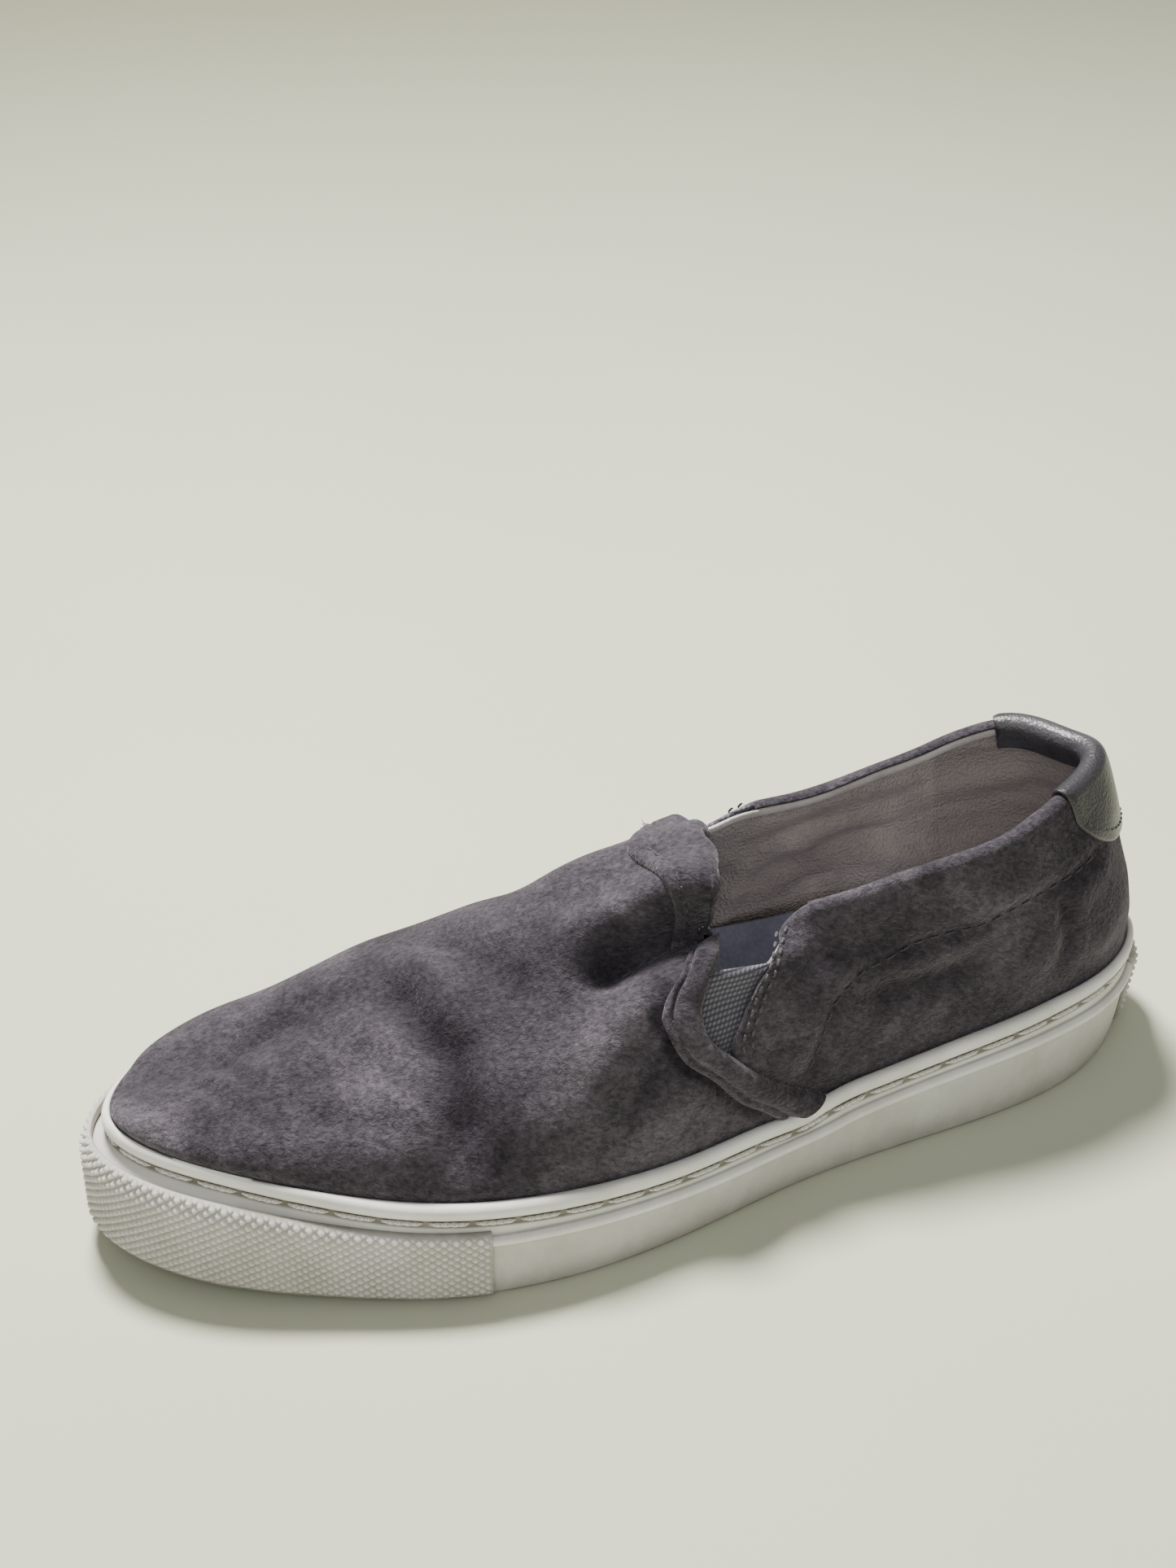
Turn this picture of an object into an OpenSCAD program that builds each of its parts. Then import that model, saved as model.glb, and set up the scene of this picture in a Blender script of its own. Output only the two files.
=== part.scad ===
// Slip-on moccasin on a cup sole, left foot, as an assembly of its real pieces.
// Frame: +X toe, +Y outer (lateral) side, +Z up. Origin at the middle of the sole's ground plane.
// One closed arch surface, arch(u, v), carries every piece of the upper.
// u runs 0..20 round the sole from the heel, past the outer side, to the toe (10) and back.
// v runs from -1 (down in the cup) by 0 (the cup's lip) to 1 (the crest over the instep).

/* [Main sizes] */
// Length of the sole from heel to toe, bumpers included
sole_length = 290; // [262:1:310]
// Greatest width of the sole
sole_width = 102; // [92:1:112]
// Height of the throat's crest above the ground
throat_height = 85.5; // [76:0.5:94]

/* [Sole] */
// Rise of the toe above the ground
toe_spring = 6.2; // [3:0.1:8]
// Height of the cup's inside floor above the ground
floor_height = 9; // [7:0.5:10]
// Thickness of the two knurled bumpers
bumper_thickness = 1.2; // [0.8:0.1:1.6]
// Where the toe bumper starts, forward of the middle
bumper_start = 57; // [45:1:75]
// Length of one stitch in the sole's groove
sole_stitch = 8; // [6:0.5:8.5]

/* [Upper] */
// Thickness of the outer velour
skin = 1.5; // [1.1:0.1:1.5]
// Thickness of the backing, counter, puff and gore layer
core = 1.3; // [0.8:0.1:1.3]
// Thickness of the leather lining
lining = 0.9; // [0.6:0.1:1]
// Thickness of the folded band over the gore and the throat
band = 1.4; // [1:0.1:1.8]
// Width of the band across the throat
band_width = 10; // [7:0.5:12]
// Thickness of the leather heel tab
tab = 1.1; // [0.8:0.1:1.4]

/* [Footbed] */
// Thickness of the foam footbed
foam = 5.7; // [4:0.1:7]
// Height of the sock lining's raised rim above the ground
rim_height = 34.5; // [30:1:42]

/* [Hidden] */
// closed B-spline net of the sole's outline at nominal size
NET = [[-152, 1], [-126, 29], [-95, 37], [-62, 39], [-30, 42], [2, 51], [34, 56], [67, 53],
       [97, 41], [127, 29], [151, 1], [127, -28], [98, -38], [66, -46], [34, -46.5], [2, -42],
       [-30, -34], [-63, -35], [-95, -35], [-127, -31]];
SPANS = 20;
GAP = 0.1;
kx = sole_length / 291.3;
ky = sole_width / 101.7;
kz = throat_height / 85.5;
SHIFT = [1.9, -3.7];

// height and width rules along the sole, as [x, value] at nominal size
LIP = [[-143, 31], [-106, 29.8], [-80, 28.5], [-57, 26.4], [-45, 25.4], [-38, 24], [-31, 22.2],
       [-17, 22.8], [4, 23.4], [27, 25.2], [47, 26.7], [67, 28.2], [85, 30.2], [103, 33.2],
       [120, 36.2], [143, 38.5]];
RIDGE = [[-143, 20], [-106, 20.6], [-80, 19.8], [-57, 17.8], [-45, 16.4], [-38, 15],
         [-31, 14.4], [-7, 14.4], [17, 15.8], [40, 17], [60, 17.6], [90, 20.4], [120, 25.4],
         [143, 28.2]];
LIP_INSET = [[-143, 3], [-100, 4], [-40, 3.8], [60, 4.2], [110, 5], [143, 6.5]];
CREST_Z = [[-100, 109], [-60, 105], [-30, 95], [-8, 85.5], [8, 79.5], [30, 69.5], [50, 62.5],
           [70, 56.5], [88, 50.5], [100, 46]];
CREST_Y = [[-100, -3], [-8, -3], [40, -6], [88, -7], [100, -7]];
RISE = [[-143, 26], [-100, 30], [-40, 26], [0, 18], [50, 13], [100, 9], [143, 7.5]];
BULGE = [[-143, -1], [-100, 0], [-40, -1], [0, 1], [50, 2.5], [100, 3], [143, 3.5]];
REACH = [[-143, 0.72], [-125, 0.8], [-100, 0.92], [-40, 0.82], [0, 0.64], [50, 0.52],
         [100, 0.5], [143, 0.55]];
TOP_OUTER = [[-143, 0.56], [-125, 0.55], [-110, 0.527], [-95, 0.498], [-78, 0.493],
             [-62, 0.508], [-46, 0.529], [-30, 0.555], [-14, 0.6], [0, 0.64]];
TOP_INNER = [[-143, 0.56], [-125, 0.545], [-110, 0.509], [-95, 0.464], [-78, 0.455],
             [-62, 0.476], [-46, 0.514], [-30, 0.573], [-14, 0.62], [0, 0.66]];

// seams of the upper, as [v, x]
VAMP_EDGE = [[-1, -34], [0, -34], [0.07, -29], [0.18, -17], [0.31, -6], [0.4, -0.5],
             [0.49, 0.5], [0.56, -5], [0.62, -11], [0.7, -15], [0.8, -17], [1, -16]];
BAND_FRONT = [[0, -24], [0.05, -20.3], [0.15, -12.6], [0.27, -4.9], [0.37, 2.8], [0.48, 7.3],
              [0.54, 6], [0.59, -1], [0.64, -8]];
BAND_BACK = [[0, -38.8], [0.07, -33], [0.18, -21], [0.31, -10.6], [0.4, -4.3], [0.48, -3.4],
             [0.54, -7], [0.59, -12.5], [0.64, -14.5]];
QUARTER_EDGE = [[-1, -36], [0, -36], [0.07, -30.8], [0.18, -19.8], [0.31, -11.4], [0.4, -15.8],
                [0.48, -21.5], [0.55, -29.2], [0.66, -36]];
SPLIT_X = 37;
SPLIT_V = 0.66;

function net(i) = NET[((i % SPANS) + SPANS) % SPANS];
function blend4(f) = [pow(1 - f, 3), 3 * f * f * f - 6 * f * f + 4,
                      -3 * f * f * f + 3 * f * f + 3 * f + 1, f * f * f] / 6;
function drift4(f) = [-pow(1 - f, 2), 3 * f * f - 4 * f, -3 * f * f + 2 * f + 1, f * f] / 2;
function spline(u, w) = let (i = floor(u))
    w[0] * net(i - 1) + w[1] * net(i) + w[2] * net(i + 1) + w[3] * net(i + 2);
function outline(u) = spline(u, blend4(u - floor(u))) + SHIFT;
function outward(u) = let (d = spline(u, drift4(u - floor(u)))) [-d[1], d[0]] / norm(d);

function slope(t, i) = let (a = max(i - 1, 0), b = min(i + 1, len(t) - 1))
    (t[b][1] - t[a][1]) / (t[b][0] - t[a][0]);
function span_of(t, x, i = 0) = i >= len(t) - 2 || x < t[i + 1][0] ? i : span_of(t, x, i + 1);
function rule(t, x0) = let (
    x = min(max(x0, t[0][0]), t[len(t) - 1][0]), i = span_of(t, x), h = t[i + 1][0] - t[i][0],
    s = (x - t[i][0]) / h)
    (2 * s * s * s - 3 * s * s + 1) * t[i][1] + (s * s * s - 2 * s * s + s) * h * slope(t, i)
    + (3 * s * s - 2 * s * s * s) * t[i + 1][1] + (s * s * s - s * s) * h * slope(t, i + 1);
function ramp(x) = let (s = min(max(x, 0), 1)) s * s * (3 - 2 * s);
function mix(a, b, s) = a + (b - a) * s;

function spring(x) = x > 52 ? toe_spring * pow((x - 52) / 91, 2) : 0;
function lip(x) = rule(LIP, x) + (toe_spring - 6.2) * pow(max(x - 52, 0) / 91, 2);
function ridge(x) = rule(RIDGE, x) + spring(x) * (toe_spring - 6.2) / 6.2;
function flare(x) = 3 * ramp((-105 - x) / 38);
function sized(p) = [p[0] * kx, p[1] * ky, p[2] * kz];

// a point of the cup's wall: inset from the outline, at height z
function wall(u, inset, z) = let (
    p = outline(u), n = outward(u), d = flare(station(u)) * min(max(z / 26, 0), 1.2) - inset)
    sized([p[0] + n[0] * d, p[1] + n[1] * d, z]);

// the arch: a cubic from the lip to the crest line, at nominal size
function crest(x) = [x + SHIFT[0], rule(CREST_Y, x) + SHIFT[1] + 3.2, rule(CREST_Z, x)];
// distance along the sole at nominal size, from which every rule is read
function station(u) = outline(u)[0] - SHIFT[0];
function arch0(u, v) = let (
    p = outline(u), n = outward(u), x = station(u), z = lip(x) - 0.5,
    d = flare(x) * min(z / 26, 1.2) - rule(LIP_INSET, x),
    foot = [p[0] + n[0] * d, p[1] + n[1] * d, z],
    ex = -96 + 0.655 * (x + 143), e = crest(ex),
    steep = rule(CREST_Z, ex + 0.5) - rule(CREST_Z, ex - 0.5),
    c = rule(REACH, x), q = foot - e,
    b = foot + [n[0] * rule(BULGE, x), n[1] * rule(BULGE, x), rule(RISE, x)],
    a = e + c * [q[0], q[1], q[0] * steep], w = max(v, 0))
    pow(1 - w, 3) * foot + 3 * w * pow(1 - w, 2) * b + 3 * w * w * (1 - w) * a + w * w * w * e
    + [0, 0, min(v, 0) * (z - spring(x) - floor_height / kz - 0.2)];
function arch(u, v) = sized(arch0(u, v));
function across(u, v) = let (
    w = min(max(v, 0), 0.985), h = 0.02,
    n = cross(arch(u, w + 0.01) - arch(u, max(w - 0.01, 0)), arch(u + h, w) - arch(u - h, w)))
    v < 0 ? let (m = [n[0], n[1], 0]) m / norm(m) : n / norm(n);
// a point of the upper, lift mm outside the arch
function on(u, v, lift) = arch(u, v) + lift * across(u, v);

// u at a given x on the outer (side 1) or inner (side -1) half
function find(side, x, lo = 0, hi = 10, n = 0) = let (m = (lo + hi) / 2)
    n > 15 ? (side > 0 ? m : 20 - m)
    : station(side > 0 ? m : 20 - m) < x ? find(side, x, m, hi, n + 1)
    : find(side, x, lo, m, n + 1);
// the inner side's seams sit further back in the middle of their height
function lag(side, v) = side > 0 ? 0 : -9 * ramp(v / 0.45) * ramp((1 - v) / 0.4);
function seam(side, t, v) = find(side, rule(t, v) + lag(side, v));
function top(u) = let (x = station(u)) rule(u < 10 ? TOP_OUTER : TOP_INNER, x);

// ---- solids from grids ----
// a closed sheet between two grids of points with the same rows and columns;
// with zip the last row is folded shut, column c meeting column last - c
module sheet(a, b, zip = false) {
    r = len(a);
    c = len(a[0]);
    k = function(j, i) zip && j == r - 1 ? j * c + min(i, c - 1 - i) : j * c + i;
    m = r * c;
    quads = [for (j = [0 : r - 2], i = [0 : c - 2])
             each [[k(j, i), k(j, i + 1), k(j + 1, i + 1), k(j + 1, i)],
                   [m + k(j, i), m + k(j + 1, i), m + k(j + 1, i + 1), m + k(j, i + 1)]]];
    sides = [for (j = [0 : r - 2])
             each [[k(j, 0), k(j + 1, 0), m + k(j + 1, 0), m + k(j, 0)],
                   [k(j, c - 1), m + k(j, c - 1), m + k(j + 1, c - 1), k(j + 1, c - 1)]]];
    ends = [for (i = [0 : c - 2])
            each concat([[k(0, i), m + k(0, i), m + k(0, i + 1), k(0, i + 1)]],
                        zip ? [] : [[k(r - 1, i), k(r - 1, i + 1),
                                     m + k(r - 1, i + 1), m + k(r - 1, i)]])];
    solid(concat([for (row = a) each row], [for (row = b) each row]),
          concat(quads, sides, ends));
}

// quads are cut into triangles, and those with no area are left out
module solid(points, quads) {
    tri = [for (q = quads) each [[q[0], q[1], q[2]], [q[0], q[2], q[3]]]];
    polyhedron(points, [for (t = tri) if (t[0] != t[1] && t[1] != t[2] && t[2] != t[0]) t]);
}

// a closed body from rings of equal length, capped by strips across the sole
module loft(rings) {
    r = len(rings);
    n = len(rings[0]);
    pts = [for (g = rings) each g];
    walls = [for (j = [0 : r - 2], i = [0 : n - 1])
             let (e = (i + 1) % n) [j * n + i, j * n + e, (j + 1) * n + e, (j + 1) * n + i]];
    cap = [for (i = [0 : n / 2 - 1]) [i, (n - i) % n, n - i - 1, i + 1]];
    low = [for (q = cap) [q[0], q[1], q[2], q[3]]];
    high = [for (q = cap) [for (i = [3 : -1 : 0]) q[i] + (r - 1) * n]];
    solid(pts, concat(walls, low, high));
}

// a small stitch from p to q: a bar of width w along s and height h along n
module bar(p, q, n, w, h) {
    d = q - p;
    s = cross(n, d) / norm(cross(n, d)) * w / 2;
    t = n * h;
    polyhedron([p - s, p + s, q + s, q - s, p - s + t, p + s + t, q + s + t, q - s + t],
               [[0, 1, 2, 3], [7, 6, 5, 4], [0, 4, 5, 1], [1, 5, 6, 2], [2, 6, 7, 3],
                [3, 7, 4, 0]]);
}

RING = 84;
function ring(inset_z) = [for (i = [0 : RING - 1]) let (
    u = i * SPANS / RING, s = inset_z(u, station(u))) wall(u, s[0], s[1])];
function flat_ring(inset, z) = ring(function(u, x) [inset, spring(x) + z]);
function inside(x) = rule(LIP_INSET, x);
// inset of a plumb inner wall: it keeps at every height the lean that it has at the lip
function plumb(x, z) = inside(x) - GAP
    - flare(x) * (min((lip(x) - 0.5) / 26, 1.2) - min(z / 26, 1.2));

// ---- sole ----
module outsole_inlay() {
    color("#b9b6ab") loft([flat_ring(7.2, 0), flat_ring(7.2, 2.5)]);
}

module cup_sole() {
    color("#e4e2da") loft([
        flat_ring(7, 2.6), flat_ring(7, 0), flat_ring(0.9, 0), flat_ring(0.1, 1.2),
        ring(function(u, x) [0, ridge(x) / 2 + spring(x) / 2]),
        ring(function(u, x) [0.3, ridge(x)]),
        ring(function(u, x) [1, ridge(x) + 0.25]),
        ring(function(u, x) [1.1, lip(x) - 5.8]),
        ring(function(u, x) [2, lip(x) - 5.2]),
        ring(function(u, x) [2, lip(x) - 4.1]),
        ring(function(u, x) [0.9, lip(x) - 3.6]),
        ring(function(u, x) [0.6, lip(x) - 2]),
        ring(function(u, x) [1.2, lip(x) - 0.6]),
        ring(function(u, x) [inside(x) - 1.1, lip(x)]),
        ring(function(u, x) [plumb(x, lip(x) - 0.7), lip(x) - 0.7]),
        ring(function(u, x) [plumb(x, spring(x) + floor_height / kz),
                             spring(x) + floor_height / kz])]);
}

function bumper(u0, u1, n, back, high) = [for (i = [0 : n]) let (
    u = mix(u0, u1, i / n), x = station(u), s = spring(x), r = ridge(x),
    t = bumper_thickness)
    back ? [wall(u, -0.1, s + 1.4), wall(u, -0.1, r / 2 + s / 2), wall(u, -0.05, r),
            wall(u, 0.8, r + 0.35), wall(u, 0.85, r + high)]
         : [wall(u, -0.5 * t, s + 0.9), wall(u, -t - 0.1, r / 2 + s / 2), wall(u, -t, r),
            wall(u, 0.3 - t, r + 0.35), wall(u, 0.45 - t, r + high)]];

module toe_bumper() {
    u0 = find(1, bumper_start);
    u1 = find(-1, bumper_start);
    color("#dedbd2") sheet(bumper(u0, u1, 40, false, 3), bumper(u0, u1, 40, true, 3));
}

module heel_bumper() {
    color("#dedbd2") sheet(bumper(-0.42, 0.42, 8, false, 3), bumper(-0.42, 0.42, 8, true, 3));
}

module sole_stitching() {
    n = 62;
    color("#f2f1ec") for (i = [0 : n - 1]) {
        u0 = find_run(i / n);
        u1 = find_run((i + sole_stitch / 11.2) / n);
        p = wall(u0, 1.7, lip(station(u0)) - 4.65);
        q = wall(u1, 1.7, lip(station(u1)) - 4.65);
        m = outward((u0 + u1) / 2);
        bar(p, q, [m[0], m[1], 0], 0.8, 0.6);
    }
}
// evenly spaced places round the outline
function find_run(s) = s * SPANS - 0.32 * sin(s * 720);

module insole_board() {
    color("#b59a72") loft([
        ring(function(u, x) [inside(x) + 4.3, spring(x) + floor_height / kz + GAP]),
        ring(function(u, x) [inside(x) + 4.3, spring(x) + floor_height / kz + 1.7])]);
}

module footbed_foam() {
    z = floor_height / kz + 1.8;
    color("#d9cfa8") loft([
        ring(function(u, x) [inside(x) + 5, spring(x) + z]),
        ring(function(u, x) [inside(x) + 5, spring(x) + z + foam])]);
}

// the sock lining is a flat sheet; a raised rim stands round it along the arch and the heel
function sock_z() = floor_height / kz + 1.9 + foam;
function lean(x) = 5 * ramp((25 - x) / 50);
module sock_lining() {
    z = sock_z();
    edge = function(x) inside(x) + 5.6 + 3 * ramp((25 - x) / 8) + lean(x);
    color("#6f7387") loft([ring(function(u, x) [edge(x), spring(x) + z]),
                           ring(function(u, x) [edge(x), spring(x) + z + 1.2])]);
}

module sock_rim() {
    z = sock_z();
    u1 = find(1, 14);
    u0 = find(-1, 14) - 20;
    n = 34;
    rim = function(x) spring(x) + z + 1.3 + (rim_height / kz - z - 1.3) * ramp((25 - x) / 50);
    function face(k, j) = let (u = mix(u0, u1, j / n), x = station((u + 20) % 20),
        l = lean(x), lo = spring(x) + z, hi = rim(x), i = inside(x))
        [wall(u, i + k[0] + l * k[3], lo), wall(u, i + k[1] + l * k[4], mix(lo, hi, 0.35)),
         wall(u, i + k[2] + l * k[5], hi)];
    color("#6f7387") sheet([for (j = [0 : n]) face([5.4, 5.3, 5.2, 0, 0.15, 0.4], j)],
                           [for (j = [0 : n]) face([8.4, 7.2, 6.3, 1, 0.9, 0.4], j)]);
}

// ---- front of the upper ----
VS = [-1, -0.5, 0, 0.08, 0.18, 0.3, 0.42, 0.54, 0.66, 0.76, 0.84, 0.92, 1];
SIDE_V = 8;
// one section over the foot, from the outer lip to the inner lip
function section(x, lift, vs) = concat(
    [for (v = vs) on(find(1, x), v, lift)],
    [for (i = [len(vs) - 2 : -1 : 0]) on(find(-1, x), vs[i], lift)]);
function toe_section(lift, vs) = concat(
    [for (v = vs) on(10, v, lift)], [for (i = [len(vs) - 2 : -1 : 0]) on(10, vs[i], lift)]);
// every layer uses the same rows and columns, so their facets lie parallel
DOME = 13;
function dome_row(j, lift, vs) =
    section(mix(SPLIT_X, 145, 1 - pow(1 - j / DOME, 1.7)), lift, vs);
function dome(j0, lift, vs) = concat(
    [for (j = [j0 : DOME - 1]) dome_row(j, lift, vs)], [toe_section(lift, vs)]);
function from_low(low) = concat([low], [for (i = [1 : len(VS) - 1]) VS[i]]);
// side wing between the rear seam and the split line
WING = 6;
function wing(side, j0, lift, v1, vs = VS) = [for (j = [j0 : WING])
    [for (i = [0 : v1]) let (v = vs[i], r = rule(VAMP_EDGE, v) + lag(side, v))
        on(find(side, mix(r, SPLIT_X, j / WING)), v, lift)]];
function back_to_front(g) = [for (i = [len(g) - 1 : -1 : 0]) g[i]];

module layer(side, a, b) {
    if (side > 0) sheet(a, b); else sheet(back_to_front(a), back_to_front(b));
}

module vamp() {
    color("#6b6670") {
        sheet(dome(0, 0, VS), dome(0, -skin, VS), zip = true);
        for (side = [1, -1])
            layer(side, wing(side, 0, 0, SIDE_V - 1), wing(side, 0, -skin, SIDE_V - 1));
    }
}

module toe_puff() {
    vs = from_low(-0.9);
    color("#c9c2b2") sheet(dome(6, -skin - GAP, vs), dome(6, -skin - GAP - core, vs),
                           zip = true);
}

module vamp_backing() {
    a = -skin - GAP;
    vs = from_low(-0.9);
    function grid(lift) = [for (j = [0, 1, 2, 3, 4, 5, 5.9]) dome_row(j, lift, vs)];
    color("#a8a49c") {
        sheet(grid(a), grid(a - core));
        for (side = [1, -1]) layer(side, wing(side, 2, a, 6, vs), wing(side, 2, a - core, 6, vs));
    }
}

module vamp_lining() {
    a = -skin - core - 2 * GAP;
    vs = from_low(-0.85);
    color("#a39b93") {
        sheet(dome(0, a, vs), dome(0, a - lining, vs), zip = true);
        for (side = [1, -1])
            layer(side, wing(side, 1, a, 6, vs), wing(side, 1, a - lining, 6, vs));
    }
}

// ---- the moving throat ----
FLAP_GAP = 1.6;
function flap(n, lift, vs, cut) = [for (j = [0 : n]) concat(
    [for (v = vs) on(find(1, mix(rule(VAMP_EDGE, v) + lag(1, v), SPLIT_X - cut, j / n)), v,
                     lift)],
    [for (i = [len(vs) - 2 : -1 : 0]) let (v = vs[i])
        on(find(-1, mix(rule(VAMP_EDGE, v) + lag(-1, v), SPLIT_X - cut, j / n)), v, lift)])];
FLAP_V = [0.58, 0.66, 0.74, 0.82, 0.9, 1];

module vamp_throat() {
    color("#6b6670") sheet(flap(6, 0, FLAP_V, FLAP_GAP), flap(6, -skin, FLAP_V, FLAP_GAP));
}

module throat_lining() {
    a = -skin - GAP;
    color("#a39b93") sheet(flap(6, a, FLAP_V, FLAP_GAP),
                           flap(6, a - core - lining, FLAP_V, FLAP_GAP));
}

BIND_V = [0.66, 0.72, 0.78, 0.84, 0.9, 0.95, 1];
function binding(lift, lead) = [for (j = [0 : 2]) concat(
    [for (v = BIND_V) on(find(1, rule(VAMP_EDGE, v) + lag(1, v) + lead * j / 2), v,
                         lift[j])],
    [for (i = [len(BIND_V) - 2 : -1 : 0]) let (v = BIND_V[i])
        on(find(-1, rule(VAMP_EDGE, v) + lag(-1, v) + lead * j / 2), v, lift[j])])];
module throat_binding() {
    color("#77717b") sheet(binding([band, band + 0.2, band - 0.2], band_width * 1.5),
                           binding([GAP, GAP, GAP], band_width * 1.5));
}

module throat_stitching() {
    color("#4d4a52") for (side = [1, -1], i = [0 : 8]) {
        x = -16 + band_width * 1.5 + 2;
        v0 = 0.70 + i * 0.034;
        u = find(side, x + lag(side, v0) + (v0 < 0.8 ? (rule(VAMP_EDGE, v0) + 17) * 0.5 : 0));
        bar(on(u, v0, 0.1), on(u, v0 + 0.02, 0.1), across(u, v0), 0.5, 0.4);
    }
}

// ---- gore and its band ----
module facing(side) {
    vs = [0.01, 0.07, 0.18, 0.27, 0.34, 0.41, 0.48, 0.53, 0.56];
    lift = [0.7 * band, band, 0.8 * band];
    function grid(low) = [for (j = [0 : 2]) [for (v = vs) on(
        find(side, mix(rule(BAND_BACK, v), rule(BAND_FRONT, v), j / 2) + lag(side, v)), v,
        low ? GAP : GAP + lift[j])]];
    color("#77717b") layer(side, grid(false), grid(true));
}

module gore(side) {
    a = -skin - 0.35;
    function grid(lift) = [for (j = [0 : 4]) [for (i = [0 : 5]) let (
        v = mix(0.24, mix(0.53, 0.562, j / 4), i / 5),
        x0 = rule(QUARTER_EDGE, v) - 6, x1 = min(rule(BAND_BACK, v) + 5, 6))
        on(find(side, mix(x0, x1, j / 4) + lag(side, v)), v, lift)]];
    color("#57555c") layer(side, grid(a), grid(a - 0.8));
}

// ---- quarters ----
QW = [-1, -0.5, 0, 0.12, 0.3, 0.5, 0.7, 0.85, 1];
QUARTER = 13;
// rows j0 to j1 of the quarter's grid, which run from its front seam to the heel
function quarter_grid(side, lift, ws, j0 = 0, down = 0) = [for (j = [j0 : QUARTER])
    [for (w = ws) let (
        f = find(side, rule(QUARTER_EDGE, max(w, -1) * (w > 0 ? 0.56 : 1)) + lag(side, w * 0.56)),
        h = side > 0 ? 0.006 : 19.994, u = mix(f, h, j / QUARTER),
        v = w > 0 ? w * (top(u) - down) : w)
        on(u, v, lift)]];
// the same rows of both quarters as one piece round the heel
function round_heel(lift, ws, j0, down = 0) = concat(
    quarter_grid(1, lift, ws, j0, down), back_to_front(quarter_grid(-1, lift, ws, j0, down)));

module quarter(side) {
    color("#6b6670") layer(-side, quarter_grid(side, 0, QW), quarter_grid(side, -skin, QW));
}

module quarter_lining(side) {
    a = -skin - core - 2 * GAP;
    ws = concat([-0.85], [for (i = [1 : len(QW) - 1]) QW[i]]);
    color("#a39b93") layer(-side, quarter_grid(side, a, ws), quarter_grid(side, a - lining, ws));
}

// stiff cup round the heel, between velour and lining
module heel_counter() {
    a = -skin - GAP;
    ws = [-0.9, -0.5, 0, 0.12, 0.3, 0.5];
    color("#8b6f4c") sheet(back_to_front(round_heel(a, ws, 4)),
                           back_to_front(round_heel(a - core, ws, 4)));
}

// foam roll under the topline
module collar_foam() {
    a = -skin - GAP;
    ws = [0.7, 0.85, 1];
    color("#d9cfa8") sheet(back_to_front(round_heel(a, ws, 2, 0.012)),
                           back_to_front(round_heel(a - core, ws, 2, 0.012)));
}

// leather bead on the rim, from one gore round the heel to the other
module topline_binding() {
    r = 1.8;
    c = -(skin + core + lining) / 2;
    n = 44;
    k = 8;
    g = [for (j = [0 : n]) let (
        u0 = mix(-3.62, 3.62, j / n), u = (u0 + 20) % 20, v = top(u), o = on(u, v, c),
        a = across(u, v), t0 = arch(u, v) - arch(u, v - 0.01), up = t0 / norm(t0))
        [for (i = [0 : k - 1]) let (b = 360 * i / k)
            o + a * r * cos(b) + up * (1.3 + 1.1 * sin(b))]];
    pts = [for (row = g) each row];
    faces = concat(
        [for (j = [0 : n - 1], i = [0 : k - 1]) let (e = (i + 1) % k)
            each [[j * k + i, (j + 1) * k + i, (j + 1) * k + e],
                  [j * k + i, (j + 1) * k + e, j * k + e]]],
        [[for (i = [0 : k - 1]) i], [for (i = [k - 1 : -1 : 0]) n * k + i]]);
    color("#c8c2bb") polyhedron(pts, faces);
}

// ---- heel tab: folded over the rim from outside to inside ----
module heel_tab() {
    function fold(o) = [for (j = [0 : 14]) let (
        u0 = mix(-1.15, 1.15, j / 14), u = (u0 + 20) % 20, t = top(u),
        low = t - 0.19 * pow(max(1 - pow(abs(u0) / 1.18, 3), 0), 0.5) - 0.01,
        i = -(skin + core + lining) - 0.75)
        [on(u, low, 0.25 + o), on(u, mix(low, t, 0.5), 0.25 + o), on(u, t, 0.25 + o),
         on(u, t + 0.018, 0.3 + o), on(u, t + 0.028 + o * 0.012, i / 2 + 0.8 + o * 0.3),
         on(u, t + 0.028 + o * 0.012, i / 2 - 0.8 - o * 0.3),
         on(u, t + 0.018, i - 0.5 - o), on(u, t, i - o), on(u, t - 0.05, i - o)]];
    color("#63626a") sheet(fold(tab), fold(0));
}

// ---- stitching on the upper ----
// evenly spaced tacks along a path of [u, v], lifted off the surface
module tacks(path, lift, step, w = 0.5) {
    for (i = [0 : len(path) - 2]) {
        p = path[i];
        q = path[i + 1];
        d = norm(arch(p[0], p[1]) - arch(q[0], q[1]));
        n = max(round(d / step), 1);
        for (k = [0 : n - 1]) {
            a = mix(p, q, (k + 0.15) / n);
            b = mix(p, q, (k + 0.75) / n);
            bar(on(a[0], a[1], lift), on(b[0], b[1], lift), across(a[0], a[1]), w, 0.35);
        }
    }
}
function mirrored(path, side) = side > 0 ? path : [for (p = path) [20 - p[0], p[1]]];

COUNTER = [[3.88, 0.13], [3.66, 0.28], [3.4, 0.33], [2.94, 0.335], [2.3, 0.31], [1.8, 0.335],
           [1.28, 0.36], [1.0, 0.38]];
module quarter_stitching() {
    color("#4d4a52") for (side = [1, -1]) tacks(mirrored(COUNTER, side), 0.35, 5);
}

module gore_stitching() {
    color("#55525a") for (side = [1, -1], k = [0, 1]) {
        back = -2.5 - 4 * k;
        path = [for (v = [0.34, 0.41, 0.48, 0.53])
                [find(side, rule(QUARTER_EDGE, v) + back + lag(side, v)), v]];
        tacks(path, 0.4, 4.5);
    }
}

module facing_stitching() {
    color("#55525a") for (side = [1, -1]) {
        path = [for (v = [0.3, 0.37, 0.44, 0.49, 0.53])
                [find(side, mix(rule(BAND_BACK, v), rule(BAND_FRONT, v), 0.62)
                      + lag(side, v)), v]];
        tacks(path, band + GAP + 0.1, 4.5);
    }
}

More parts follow.
